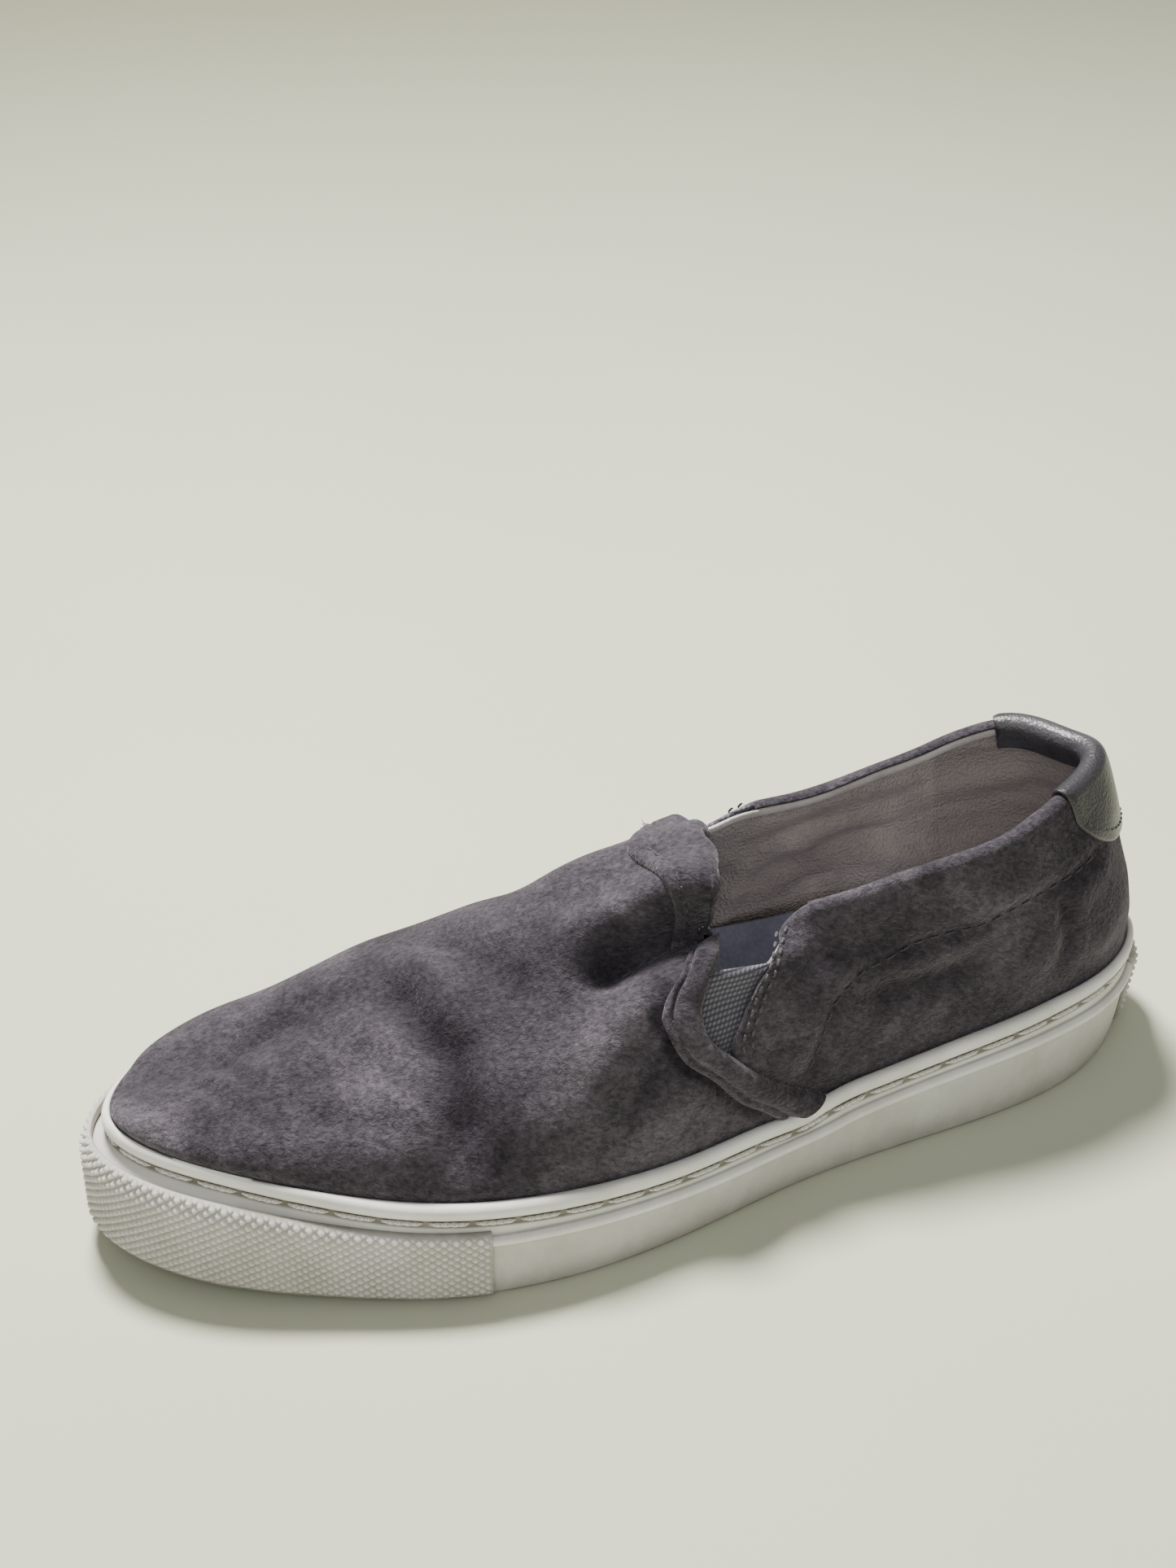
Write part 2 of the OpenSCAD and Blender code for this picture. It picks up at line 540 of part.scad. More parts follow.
module tab_stitching() {
    path = [for (j = [1 : 13]) let (u0 = mix(-1.05, 1.05, j / 14), u = (u0 + 20) % 20,
            t = top(u), low = t - 0.19 * pow(max(1 - pow(abs(u0) / 1.18, 3), 0), 0.5))
            [u, low + 0.025]];
    color("#4a4950") for (i = [0 : len(path) - 2])
        if (abs(path[i][0] - path[i + 1][0]) < 2)
            tacks([path[i], path[i + 1]], 0.35 + tab, 4.5);
}

outsole_inlay();
cup_sole();
toe_bumper();
heel_bumper();
sole_stitching();
insole_board();
footbed_foam();
sock_lining();
sock_rim();
toe_puff();
heel_counter();
vamp();
vamp_backing();
vamp_lining();
vamp_throat();
throat_lining();
throat_binding();
throat_stitching();
facing(1);  // facing_lateral
facing(-1);  // facing_medial
gore(1);  // gore_lateral
gore(-1);  // gore_medial
quarter(1);  // quarter_lateral
quarter(-1);  // quarter_medial
quarter_lining(1);  // quarter_lining_lateral
quarter_lining(-1);  // quarter_lining_medial
collar_foam();
topline_binding();
heel_tab();
quarter_stitching();
gore_stitching();
facing_stitching();
tab_stitching();
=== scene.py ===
import math

import bpy
import numpy as np
from mathutils import Matrix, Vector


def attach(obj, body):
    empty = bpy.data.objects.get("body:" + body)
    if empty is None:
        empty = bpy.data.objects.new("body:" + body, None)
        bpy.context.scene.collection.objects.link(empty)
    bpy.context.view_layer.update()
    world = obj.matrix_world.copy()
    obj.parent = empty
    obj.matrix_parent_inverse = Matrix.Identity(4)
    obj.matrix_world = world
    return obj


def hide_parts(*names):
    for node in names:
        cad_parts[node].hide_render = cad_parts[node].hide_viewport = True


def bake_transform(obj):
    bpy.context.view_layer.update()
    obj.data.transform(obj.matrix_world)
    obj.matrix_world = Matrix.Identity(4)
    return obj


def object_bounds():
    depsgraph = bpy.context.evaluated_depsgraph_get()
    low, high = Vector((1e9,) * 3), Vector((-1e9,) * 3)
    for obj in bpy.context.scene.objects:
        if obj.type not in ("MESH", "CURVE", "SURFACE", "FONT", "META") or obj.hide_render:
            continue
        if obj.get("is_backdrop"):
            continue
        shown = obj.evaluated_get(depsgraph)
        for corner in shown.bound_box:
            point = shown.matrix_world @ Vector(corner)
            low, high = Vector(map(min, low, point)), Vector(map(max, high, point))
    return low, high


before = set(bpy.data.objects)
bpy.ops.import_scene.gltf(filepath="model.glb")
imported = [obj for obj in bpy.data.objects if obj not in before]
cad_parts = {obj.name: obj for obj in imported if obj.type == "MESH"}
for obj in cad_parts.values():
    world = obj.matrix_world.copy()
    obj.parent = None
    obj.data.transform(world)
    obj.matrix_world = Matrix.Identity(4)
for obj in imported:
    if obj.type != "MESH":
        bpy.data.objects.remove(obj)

bl_info = {
    "name": "Slip-on moccasin",
    "version": (1, 0, 0),
    "blender": (4, 5, 0),
    "location": "3D View > Sidebar > Moccasin",
    "description": "Builds a velour slip-on moccasin on a stitched cup sole",
    "category": "Object",
}

CAD_LOW, CAD_HIGH = (np.array(c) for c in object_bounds())

# ---------------------------------------------------------------------------
# The last: one arch surface that carries every piece. Millimetres, +X toe,
# +Y outer side, +Z up. u runs 0..20 round the sole (0 heel, 10 toe), v from
# below the cup's lip (negative) by the lip (0) to the crest of the foot (1).
# ---------------------------------------------------------------------------
NET = np.array([
    (-152, 1), (-126, 29), (-95, 37), (-62, 39), (-30, 42), (2, 51), (34, 56), (67, 53),
    (97, 41), (127, 29), (151, 1), (127, -28), (98, -38), (66, -46), (34, -46.5), (2, -42),
    (-30, -34), (-63, -35), (-95, -35), (-127, -31)], float)
SHIFT = np.array([1.9, -3.7])
TOE_SPRING = 6.2
FLOOR = 9.0
FOAM = 5.7

# rules along the sole: (x, value)
LIP = [(-143, 31), (-106, 29.8), (-80, 28.5), (-57, 26.4), (-45, 25.4), (-38, 24), (-31, 22.2),
       (-17, 22.8), (4, 23.4), (27, 25.2), (47, 26.7), (67, 28.2), (85, 30.2), (103, 33.2),
       (120, 36.2), (143, 38.5)]
RIDGE = [(-143, 20), (-106, 20.6), (-80, 19.8), (-57, 17.8), (-45, 16.4), (-38, 15),
         (-31, 14.4), (-7, 14.4), (17, 15.8), (40, 17), (60, 17.6), (90, 20.4), (120, 25.4),
         (143, 28.2)]
LIP_INSET = [(-143, 3), (-100, 4), (-40, 3.8), (60, 4.2), (110, 5), (143, 6.5)]
CREST_Z = [(-100, 109), (-60, 105), (-30, 95), (-8, 85.5), (8, 79.5), (30, 69.5), (50, 62.5),
           (70, 56.5), (88, 50.5), (100, 46)]
CREST_Y = [(-100, -3), (-8, -3), (40, -6), (88, -7), (100, -7)]
RISE = [(-143, 26), (-100, 30), (-40, 26), (0, 18), (50, 13), (100, 9), (143, 7.5)]
BULGE = [(-143, -1), (-100, 0), (-40, -1), (0, 1), (50, 2.5), (100, 3), (143, 3.5)]
REACH = [(-143, 0.72), (-125, 0.8), (-100, 0.92), (-40, 0.82), (0, 0.64), (50, 0.52),
         (100, 0.5), (143, 0.55)]
TOP_OUTER = [(-143, 0.56), (-125, 0.55), (-110, 0.527), (-95, 0.498), (-78, 0.493),
             (-62, 0.508), (-46, 0.529), (-30, 0.555), (-14, 0.6), (0, 0.64)]
TOP_INNER = [(-143, 0.56), (-125, 0.545), (-110, 0.509), (-95, 0.464), (-78, 0.455),
             (-62, 0.476), (-46, 0.514), (-30, 0.573), (-14, 0.62), (0, 0.66)]

# seams: (v, x)
VAMP_EDGE = [(-1, -34), (0, -34), (0.07, -29), (0.18, -17), (0.31, -6), (0.4, -0.5),
             (0.49, 0.5), (0.56, -5), (0.62, -9), (0.7, -11.5), (0.8, -15.5), (0.9, -17.5), (1, -16.5)]
BAND_FRONT = [(0, -24), (0.05, -20.3), (0.15, -12.6), (0.27, -4.9), (0.37, 2.8), (0.48, 7.3),
              (0.54, 6), (0.59, 0), (0.66, -9)]
BAND_BACK = [(0, -38.8), (0.07, -33), (0.18, -21), (0.31, -10.6), (0.4, -4.3), (0.48, -3.4),
             (0.54, -7), (0.59, -12.5), (0.66, -17)]
QUARTER_EDGE = [(-1, -36), (0, -36), (0.07, -30.8), (0.18, -19.8), (0.31, -11.4), (0.4, -15.8),
                (0.48, -21.5), (0.55, -29.2), (0.66, -36)]
LINING_EDGE = [(-1, -36), (0, -36), (0.1, -29), (0.2, -18), (0.31, -11), (0.56, -10)]
COUNTER = [(3.88, 0.13), (3.66, 0.28), (3.4, 0.33), (2.94, 0.335), (2.3, 0.31), (1.8, 0.335),
           (1.28, 0.36), (1.0, 0.38)]


def rule(table, x):
    """Smooth reading of a short table: a cubic through its points, with central slopes."""
    t = np.array(table, float)
    tx, ty = t[:, 0], t[:, 1]
    m = np.r_[(ty[1] - ty[0]) / (tx[1] - tx[0]), (ty[2:] - ty[:-2]) / (tx[2:] - tx[:-2]),
              (ty[-1] - ty[-2]) / (tx[-1] - tx[-2])]
    x = np.clip(x, tx[0], tx[-1])
    i = np.clip(np.searchsorted(tx, x, side="right") - 1, 0, len(tx) - 2)
    h = tx[i + 1] - tx[i]
    s = (x - tx[i]) / h
    return ((2 * s**3 - 3 * s**2 + 1) * ty[i] + (s**3 - 2 * s**2 + s) * h * m[i]
            + (3 * s**2 - 2 * s**3) * ty[i + 1] + (s**3 - s**2) * h * m[i + 1])


def ramp(x):
    """0 below 0, 1 above 1, and a smooth step between."""
    s = np.clip(x, 0, 1)
    return s * s * (3 - 2 * s)


def spline(u, weights):
    i = np.floor(u).astype(int)
    w = weights(u - i)
    return sum(NET[(i + k - 1) % 20] * w[k][..., None] for k in range(4))


def outline(u):
    """Outline of the sole at u: a closed cubic B-spline of NET."""
    return spline(u, lambda f: [(1 - f)**3 / 6, (3 * f**3 - 6 * f * f + 4) / 6,
                                (-3 * f**3 + 3 * f * f + 3 * f + 1) / 6, f**3 / 6]) + SHIFT


def outward(u):
    """Unit vector out of the outline at u."""
    d = spline(u, lambda f: [-(1 - f)**2 / 2, (3 * f * f - 4 * f) / 2,
                             (-3 * f * f + 2 * f + 1) / 2, f * f / 2])
    return np.stack([-d[..., 1], d[..., 0]], -1) / np.linalg.norm(d, axis=-1)[..., None]


def station(u):
    return outline(u)[..., 0] - SHIFT[0]


SCALE = np.array([290 / 291.3, 102 / 101.7, 1.0])


def spring(x):
    return TOE_SPRING * (np.clip(x - 52, 0, None) / 91)**2


def flare(x):
    return 3 * ramp((-105 - x) / 38)


def wall(u, inset, z):
    """A point of the cup's wall: the outline moved in by inset, at height z."""
    p, n, x = outline(u), outward(u), station(u)
    d = flare(x) * np.clip(z / 26, 0, 1.2) - inset
    return np.concatenate([p + n * d[..., None], (z + 0 * x)[..., None]], -1) * SCALE


def arch_plain(u, v):
    """The arch: a cubic Bezier from the lip to the crest line, straight down below the lip."""
    u, v = np.broadcast_arrays(np.asarray(u, float) % 20, np.asarray(v, float))
    p, n, x = outline(u), outward(u), station(u)
    z = rule(LIP, x) - 0.5
    d = flare(x) * np.clip(z / 26, 0, 1.2) - rule(LIP_INSET, x)
    foot = np.concatenate([p + n * d[..., None], z[..., None]], -1)
    ex = -96 + 0.655 * (x + 143)
    end = np.stack([ex + SHIFT[0], rule(CREST_Y, ex) + SHIFT[1] + 3.2, rule(CREST_Z, ex)], -1)
    steep = rule(CREST_Z, ex + 0.5) - rule(CREST_Z, ex - 0.5)
    q = foot - end
    b = foot + np.concatenate([n * rule(BULGE, x)[..., None], rule(RISE, x)[..., None]], -1)
    a = end + rule(REACH, x)[..., None] * np.stack([q[..., 0], q[..., 1], q[..., 0] * steep], -1)
    w = np.clip(v, 0, None)[..., None]
    out = (1 - w)**3 * foot + 3 * w * (1 - w)**2 * b + 3 * w * w * (1 - w) * a + w**3 * end
    out[..., 2] += np.minimum(v, 0) * (z - spring(x) - FLOOR - 0.2)
    return out * SCALE


def normal_of(f, u, v):
    """Outward unit normal of f(u, v) from its own differences."""
    w = np.clip(v, 0, 0.985)
    n = np.cross(f(u, w + 0.01) - f(u, np.clip(w - 0.01, 0, None)), f(u + 0.02, w) - f(u - 0.02, w))
    n[..., 2] = np.where(np.asarray(v) < 0, 0, n[..., 2])
    return n / np.linalg.norm(n, axis=-1)[..., None]


HALF = np.linspace(0, 10, 4001)
OUTER_X, INNER_X = station(HALF), station(20 - HALF)
TIP = float(station(np.array([10.0]))[0])


def find(side, x):
    """u at a given x on the outer (1) or inner (-1) half."""
    if side > 0:
        return np.interp(x, OUTER_X, HALF)
    return 20 - np.interp(x, INNER_X, HALF)


def lag(side, v):
    return 0 if side > 0 else -9 * ramp(v / 0.45) * ramp((1 - v) / 0.4)


def seam(side, table, v):
    return rule(table, v) + lag(side, v)


def to_path(p, path):
    """Distance from points p to a polyline, and how far along it (0..1) they fall."""
    path = np.array(path, float)
    best, along = np.full(p.shape[:-1], 1e9), np.zeros(p.shape[:-1])
    for k, (a, b) in enumerate(zip(path[:-1], path[1:])):
        t = np.clip(((p - a) @ (b - a)) / ((b - a) @ (b - a)), 0, 1)
        d = np.linalg.norm(p - a - t[..., None] * (b - a), axis=-1)
        along = np.where(d < best, (k + t) / (len(path) - 1), along)
        best = np.minimum(best, d)
    return best, along


# creases of the worn upper: path in mm, depth, half width; the cloth rises a little beside each
CREASES = [
    ([(-34, 26, 73), (-20, 23, 74.5), (-8, 20.5, 75), (4, 20, 72.5), (16, 20, 68),
      (27, 22, 62)], 10.0, 6.2),
    ([(2, 27, 66), (12, 31, 57), (20, 37, 47)], 2.0, 5.0),
    ([(70, -9, 56.5), (65, 4, 57), (59, 22, 53), (60, 33, 45), (65, 43, 35)], 3.2, 5.0),
    ([(52, -14, 60), (42, 6, 66), (34, 22, 61)], 1.6, 5.0),
    ([(120, -4, 43), (113, 8, 43), (107, 17, 41), (100, 24, 39)], 1.5, 2.6),
    ([(112, -8, 46), (106, 3, 47), (104, 12, 45)], 1.1, 2.4),
    ([(124, 6, 38), (118, 15, 37)], 0.9, 2.2),
    ([(96, 20, 43), (84, 27, 43), (74, 31, 43)], 1.0, 3.5),
    ([(30, 42, 42), (14, 40, 44), (2, 36, 50)], 1.6, 5.5),
    ([(-45, 31, 51), (-58, 31, 48), (-74, 30, 49), (-88, 29, 53)], 2.4, 4.5),
    ([(-34, 29, 64), (-46, 29, 63), (-60, 28.5, 66)], 1.4, 4.0),
    ([(-104, 25, 62), (-108, 25, 50), (-106, 27, 40)], 1.3, 3.0),
    ([(-94, 28, 64), (-98, 29, 52)], 1.0, 2.6),
    ([(-50, -32, 60), (-64, -32, 50), (-82, -32, 46)], 1.6, 5.0),
    ([(-20, -34, 55), (-8, -36, 48), (6, -38, 42)], 1.4, 5.0),
    ([(40, -40, 40), (30, -30, 55), (24, -18, 66)], 1.4, 4.5)]
WAVES = np.random.default_rng(7).normal(size=(9, 3))


def seam_paths():
    """The quarters' curved seam as points in mm, once for each side."""
    c = np.array(COUNTER, float)
    return [[tuple(q) for q in arch_plain(c[:, 0] if k else 20 - c[:, 0], c[:, 1])]
            for k in (1, 0)]


def painted_crease_shade(p):
    """Painted shade at points p: darkest in the creases, along the quarters' seams and along the front
    edges of the facing bands, 0 away from them.
    """
    dark = np.zeros(p.shape[:-1])
    for path, depth, w in CREASES:
        d, s = to_path(p, path)
        fade = 1 - ramp((np.abs(s - 0.5) - 0.25) / 0.28)
        dark += (0.25 + 0.15 * min(depth, 3)) * fade * np.exp(-(d / (w * 0.9))**2)
    for path in SEAMS:
        dark += 0.35 * np.exp(-(to_path(p, path)[0] / 1.6)**2)
    for path in FRONTS:
        dark += 1.2 * np.exp(-(to_path(p, path)[0] / 1.7)**2)
    return np.clip(dark, 0, 1)


def worn(p, n):
    """Moves points along n: each crease sinks by depth * exp(-(d/w)^2) and swells beside it,
    and slow waves of a fraction of a millimetre run over the whole upper."""
    move = np.zeros(p.shape[:-1])
    for path, depth, w in CREASES:
        d, s = to_path(p, path)
        fade = 1 - ramp((np.abs(s - 0.5) - 0.3) / 0.24) * 0.9
        move -= depth * fade * (np.exp(-(d / w)**2) - 0.28 * np.exp(-((d - 1.9 * w) / w)**2))
    for path in SEAMS:
        d, s = to_path(p, path)
        move -= 0.9 * np.exp(-(d / 2.4)**2) - 0.5 * np.exp(-((d - 6) / 4)**2)
    for path in FRONTS:
        move -= 1.3 * np.exp(-(to_path(p, path)[0] / 1.9)**2)
    for k, w in enumerate(WAVES):
        w = w / np.linalg.norm(w)
        length = 16 + 5 * k
        move += 0.011 * length * np.sin(2 * np.pi * (p @ w) / length + 1.7 * k) \
            * ramp((p[..., 2] - 27) / 14)
    # the arch of the throat stands proud like a roll
    d, s = to_path(p, [(-22, 13, 83), (-8, 12, 80), (10, 10, 75), (26, 7, 69)])
    move += 4.2 * np.exp(-(d / 8.5)**2) * (1 - 0.75 * ramp(s * 1.6 - 0.5))
    move -= 4.5 * ramp((-1 - p[..., 0]) / 14) * ramp((p[..., 2] - 78) / 6) \
        * ramp((p[..., 0] + 52) / 16)
    return p + n * move[..., None]


SEAMS = seam_paths()
FRONTS = [arch_plain(find(side, seam(side, BAND_FRONT, np.linspace(0.06, 0.5, 14)) + 1.2),
                     np.linspace(0.06, 0.5, 14)) for side in (1, -1)]


def arch(u, v):
    """The worn arch, where every layer of the upper lies."""
    p = arch_plain(u, v)
    keep = ramp((np.asarray(v) - 0.02) / 0.12)[..., None]
    return p + keep * (worn(p, normal_of(arch_plain, u, v)) - p)


def on(u, v, lift):
    """A point lift mm outside the worn arch."""
    u, v, lift = np.broadcast_arrays(np.asarray(u, float), np.asarray(v, float),
                                     np.asarray(lift, float))
    return arch(u, v) + lift[..., None] * normal_of(arch, u, v)


def top(u):
    u = np.asarray(u) % 20
    x = station(u)
    return np.where(u < 10, rule(TOP_OUTER, x), rule(TOP_INNER, x))


# ---------------------------------------------------------------------------
# Meshes
# ---------------------------------------------------------------------------
def make(name, points, *faces):
    """A smooth mesh object from points in mm and arrays of quads or triangles; its object sits
    at the origin unscaled, with its place in the mesh."""
    mesh = bpy.data.meshes.new(name)
    flat = [tuple(dict.fromkeys(q)) for f in faces for q in np.asarray(f).tolist()]
    mesh.from_pydata((np.asarray(points, float).reshape(-1, 3) / 1000).tolist(), [],
                     [q for q in flat if len(q) > 2])
    mesh.polygons.foreach_set("use_smooth", np.ones(len(mesh.polygons), bool))
    mesh.update()
    obj = bpy.data.objects.new(name, mesh)
    bpy.context.collection.objects.link(obj)
    return obj


def quads_of(r, c, wrap_c=False, wrap_r=False):
    """Quads of an r by c grid of points, closed in either direction if asked."""
    j, i = np.meshgrid(np.arange(r if wrap_r else r - 1), np.arange(c if wrap_c else c - 1),
                       indexing="ij")
    a, b = j * c + i, j * c + (i + 1) % c
    d, e = ((j + 1) % r) * c + i, ((j + 1) % r) * c + (i + 1) % c
    return np.stack([a, b, e, d], -1).reshape(-1, 4)


def shell(name, a, b, fold=False, flip=False):
    """A closed sheet between two grids of the same shape. With fold the last row is shut like
    a book: column c meets column last - c, which closes the toe."""
    r, c = a.shape[:2]
    m = r * c
    q = quads_of(r, c)
    j, i = np.arange(r - 1), np.arange(c - 1)
    k = (r - 1) * c
    faces = [q, m + q[:, ::-1],
             np.stack([j * c, (j + 1) * c, m + (j + 1) * c, m + j * c], -1),
             np.stack([j * c + c - 1, m + j * c + c - 1, m + (j + 1) * c + c - 1,
                       (j + 1) * c + c - 1], -1),
             np.stack([i, m + i, m + i + 1, i + 1], -1)]
    if not fold:
        faces.append(np.stack([k + i, k + i + 1, m + k + i + 1, m + k + i], -1))
    faces = np.concatenate(faces)
    if fold:
        ids = np.arange(2 * m)
        ids[k:k + c] = k + np.minimum(np.arange(c), c - 1 - np.arange(c))
        ids[m + k:m + k + c] = m + ids[k:k + c]
        faces = ids[faces]
    return make(name, np.concatenate([a.reshape(-1, 3), b.reshape(-1, 3)]),
                faces[:, ::-1] if flip else faces)


def tubes(name, rings):
    """Closed tubes in one mesh from rings of points (tubes, rings, sides, 3)."""
    n, r, k = rings.shape[:3]
    i = np.arange(1, k - 1)
    cap = np.stack([0 * i, i, i + 1], -1)
    step = (np.arange(n) * r * k)[:, None, None]
    return make(name, rings, (quads_of(r, k, wrap_c=True)[None] + step).reshape(-1, 4),
                (cap[None, :, ::-1] + step).reshape(-1, 3),
                (cap[None] + (r - 1) * k + step).reshape(-1, 3))


def sweep(centres, normals, wide, high, sides=10, power=2.0):
    """Rings round a path: each an oval (power 2) or a rounded bar (power above 2), its height
    along normals and its width across them."""
    d = np.gradient(centres, axis=-2)
    d /= np.linalg.norm(d, axis=-1)[..., None]
    b = np.cross(normals, d)
    b /= np.linalg.norm(b, axis=-1)[..., None]
    c = np.cross(d, b)
    a = np.linspace(0, 2 * np.pi, sides, endpoint=False)
    x = np.sign(np.cos(a)) * np.abs(np.cos(a))**(2 / power)
    y = np.sign(np.sin(a)) * np.abs(np.sin(a))**(2 / power)
    wide, high = (np.broadcast_to(q, centres.shape[:-1])[..., None, None] for q in (wide, high))
    return centres[..., None, :] + b[..., None, :] * x[:, None] * wide / 2 \
        + c[..., None, :] * y[:, None] * high / 2


def stitches(name, starts, ends, normals, width, height, twist=0.0, sides=8, steps=8, dive=0.5):
    """Threads in one mesh. Each runs from start to end; it narrows and dives at both ends, and
    with twist its surface winds like a rope."""
    t = np.linspace(0, 1, steps + 1)
    body = (1 - np.abs(2 * t - 1)**5)
    mid = starts[:, None] + (ends - starts)[:, None] * t[None, :, None] \
        + normals[:, None] * (dive * (body - 1))[None, :, None]
    n = np.broadcast_to(normals[:, None], mid.shape)
    fat = 0.35 + 0.65 * body
    rings = sweep(mid, n, width * fat[None], height * fat[None], sides)
    if twist:
        a = np.linspace(0, 2 * np.pi, sides, endpoint=False)
        lobes = 1 + 0.16 * np.cos(2 * a[None] + t[:, None] * twist)
        rings = mid[:, :, None] + (rings - mid[:, :, None]) * lobes[None, :, :, None]
    return tubes(name, rings)


def dash(path, pitch, cover, lift):
    """Starts, ends and normals of stitches along a path of (u, v) on the worn arch."""
    path = np.array(path, float)
    k = np.linspace(0, len(path) - 1, 600)
    u = np.interp(k, np.arange(len(path)), path[:, 0])
    v = np.interp(k, np.arange(len(path)), path[:, 1])
    p = on(u, v, lift)
    run = np.r_[0, np.cumsum(np.linalg.norm(np.diff(p, axis=0), axis=1))]
    n = max(int(run[-1] / pitch), 1)
    s0 = np.arange(n) * run[-1] / n
    at = lambda s: on(np.interp(s, run, u), np.interp(s, run, v), lift)
    s1 = s0 + cover * run[-1] / n
    m = (s0 + s1) / 2
    return at(s0), at(s1), normal_of(arch, np.interp(m, run, u), np.interp(m, run, v))


def shade_and_soil(obj, values):
    """Stores how dark each point is painted, 0 clean to 1 dark, for its finish to read: painted shade in
    creases, seams, grooves and gaps, soil with painted shade low on the sole, the grey of the tread inlay,
    and the heel pocket on the lining.
    """
    a = obj.data.attributes.new("shade_and_soil", "FLOAT", "POINT")
    a.data.foreach_set("value", np.asarray(values, np.float32).ravel())


def merge(parts):
    return [np.concatenate(p) for p in zip(*parts)]


def ring_wall(insets, n=480, plumb=()):
    """Rings of the sole from (inset, z) rules of (u, x); those listed in plumb keep the lean
    that the wall has at the lip."""
    u = np.arange(n) * 20 / n
    x = station(u)
    rings = []
    for k, f in enumerate(insets):
        inset, z = f(u, x)
        if k in plumb:
            inset = inset - flare(x) * (np.clip((rule(LIP, x) - 0.5) / 26, 0, 1.2)
                                        - np.clip(z / 26, 0, 1.2))
        rings.append(wall(u, inset + 0 * x, z + 0 * x))
    return np.stack(rings)


def loft(name, rings):
    """A closed body from stacked rings (r, n, 3) of the sole, capped by strips across it."""
    r, n = rings.shape[:2]
    i = np.arange(n // 2)
    cap = np.stack([i, (n - i) % n, n - i - 1, i + 1], -1)
    return make(name, rings, quads_of(r, n, wrap_c=True), cap, cap[:, ::-1] + (r - 1) * n)


def dress(obj, material, body, slot, *nodes):
    """Gives a piece its material, parents it to the empty of its body, or for bend and stretch only bakes
    its place into its mesh, and hides the CAD nodes that it stands for. The slot is not used.
    """
    obj.data.materials.clear()
    obj.data.materials.append(material)
    if body == "bend":
        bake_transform(obj)
    elif body == "stretch":
        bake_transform(obj)
    else:
        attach(obj, body)
    if nodes:
        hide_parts(*nodes)
    return obj


# ---------------------------------------------------------------------------
# Grids of the upper
# ---------------------------------------------------------------------------
def cols(n, low=-1.0, high=1.0):
    """v from under the lip to high, closest together near the lip and the seams."""
    return np.r_[low, low / 2, np.linspace(0, high, n)]


def front_grid(lift, v, back, rows, ease=1.9):
    """Rows from back(side, v) to the toe tip, each over the foot from outer to inner lip."""
    t = np.linspace(0, 1, rows)[:, None]
    def half(side, v):
        x0 = back(side, v)
        x = TIP - (TIP - x0) * (1 - t)**ease
        u = find(side, x)
        return np.where(t == 1, 10.0, u)
    u = np.concatenate([half(1, v), half(-1, v[:-1][::-1])], 1)
    vv = np.broadcast_to(np.r_[v, v[:-1][::-1]], u.shape)
    return on(u, vv, lift)


def wing_grid(side, lift, v, back, front, rows):
    """Rows from back to front (x rules of side and v) on one side of the foot."""
    t = np.linspace(0, 1, rows)[:, None]
    u = find(side, back(side, v) * (1 - t) + front(side, v) * t)
    return on(u, np.broadcast_to(v, u.shape), lift)


def heel_grid(side, lift, w, rows, edge, down=0.0, near=0.0):
    """Rows from the front seam of a quarter to the heel seam. w runs -1..1, and for w above 0
    v is w times the height of the topline."""
    t = np.linspace(0, 1, rows)[:, None]
    front = find(side, rule(edge, np.where(w > 0, 0.56 * w, w)) + lag(side, 0.56 * np.clip(w, 0, 1)))
    heel = near if side > 0 else 20 - near
    u = front * (1 - t) + heel * t
    return u, np.where(w > 0, w * (top(u) - down), w)


def layer(name, side, a, b):
    return shell(name, a, b, flip=side > 0)


# ---------------------------------------------------------------------------
# Materials
# ---------------------------------------------------------------------------
def linear(hexa):
    """An sRGB hex colour as linear RGBA."""
    c = np.array([int(hexa[k:k + 2], 16) for k in (1, 3, 5)]) / 255
    return (*np.where(c <= 0.04045, c / 12.92, ((c + 0.055) / 1.055)**2.4), 1.0)


def add(tree, kind, settings=None, **links):
    """Adds a node. Settings are its own fields, or sockets where the name is one; links join
    its inputs, numbered as in0, or named, to another node's output socket."""
    node = tree.nodes.new(kind)
    for key, value in (settings or {}).items():
        if isinstance(key, str) and hasattr(node, key) and key not in node.inputs:
            setattr(node, key, value)
        else:
            node.inputs[key].default_value = value
    for key, socket in links.items():
        name = int(key[2:]) if key[:2] == "in" and key[2:].isdigit() else key.replace("_", " ")
        tree.links.new(socket, node.inputs[name])
    return node


def finish(name, shader, colour=None, roughness=None, height=None, strength=0.3, distance=0.3):
    """A material with one principled shader; colour, roughness and height are functions that
    get the tree and the object coordinates in metres, and give back a socket."""
    m = bpy.data.materials.new(name)
    m.use_nodes = True
    t = m.node_tree
    p = t.nodes["Principled BSDF"]
    for key, value in shader.items():
        p.inputs[key].default_value = value
    place = add(t, "ShaderNodeTexCoord").outputs["Object"]
    if colour:
        t.links.new(colour(t, place), p.inputs["Base Color"])
    if roughness:
        t.links.new(roughness(t, place), p.inputs["Roughness"])
    if height:
        bump = add(t, "ShaderNodeBump", {"Strength": strength, "Distance": distance / 1000},
                   Height=height(t, place))
        t.links.new(bump.outputs[0], p.inputs["Normal"])
    return m


def noise(t, place, mm, detail=3.0, rough=0.55, distort=0.0):
    """Noise whose lumps are mm across."""
    return add(t, "ShaderNodeTexNoise", {"Scale": 1000 / mm / 2, "Detail": detail,
               "Roughness": rough, "Distortion": distort}, Vector=place).outputs["Fac"]


def cells(t, place, mm, feature="F1"):
    """Cells mm across."""
    return add(t, "ShaderNodeTexVoronoi", {"feature": feature, "Scale": 1000 / mm},
               Vector=place).outputs["Distance"]


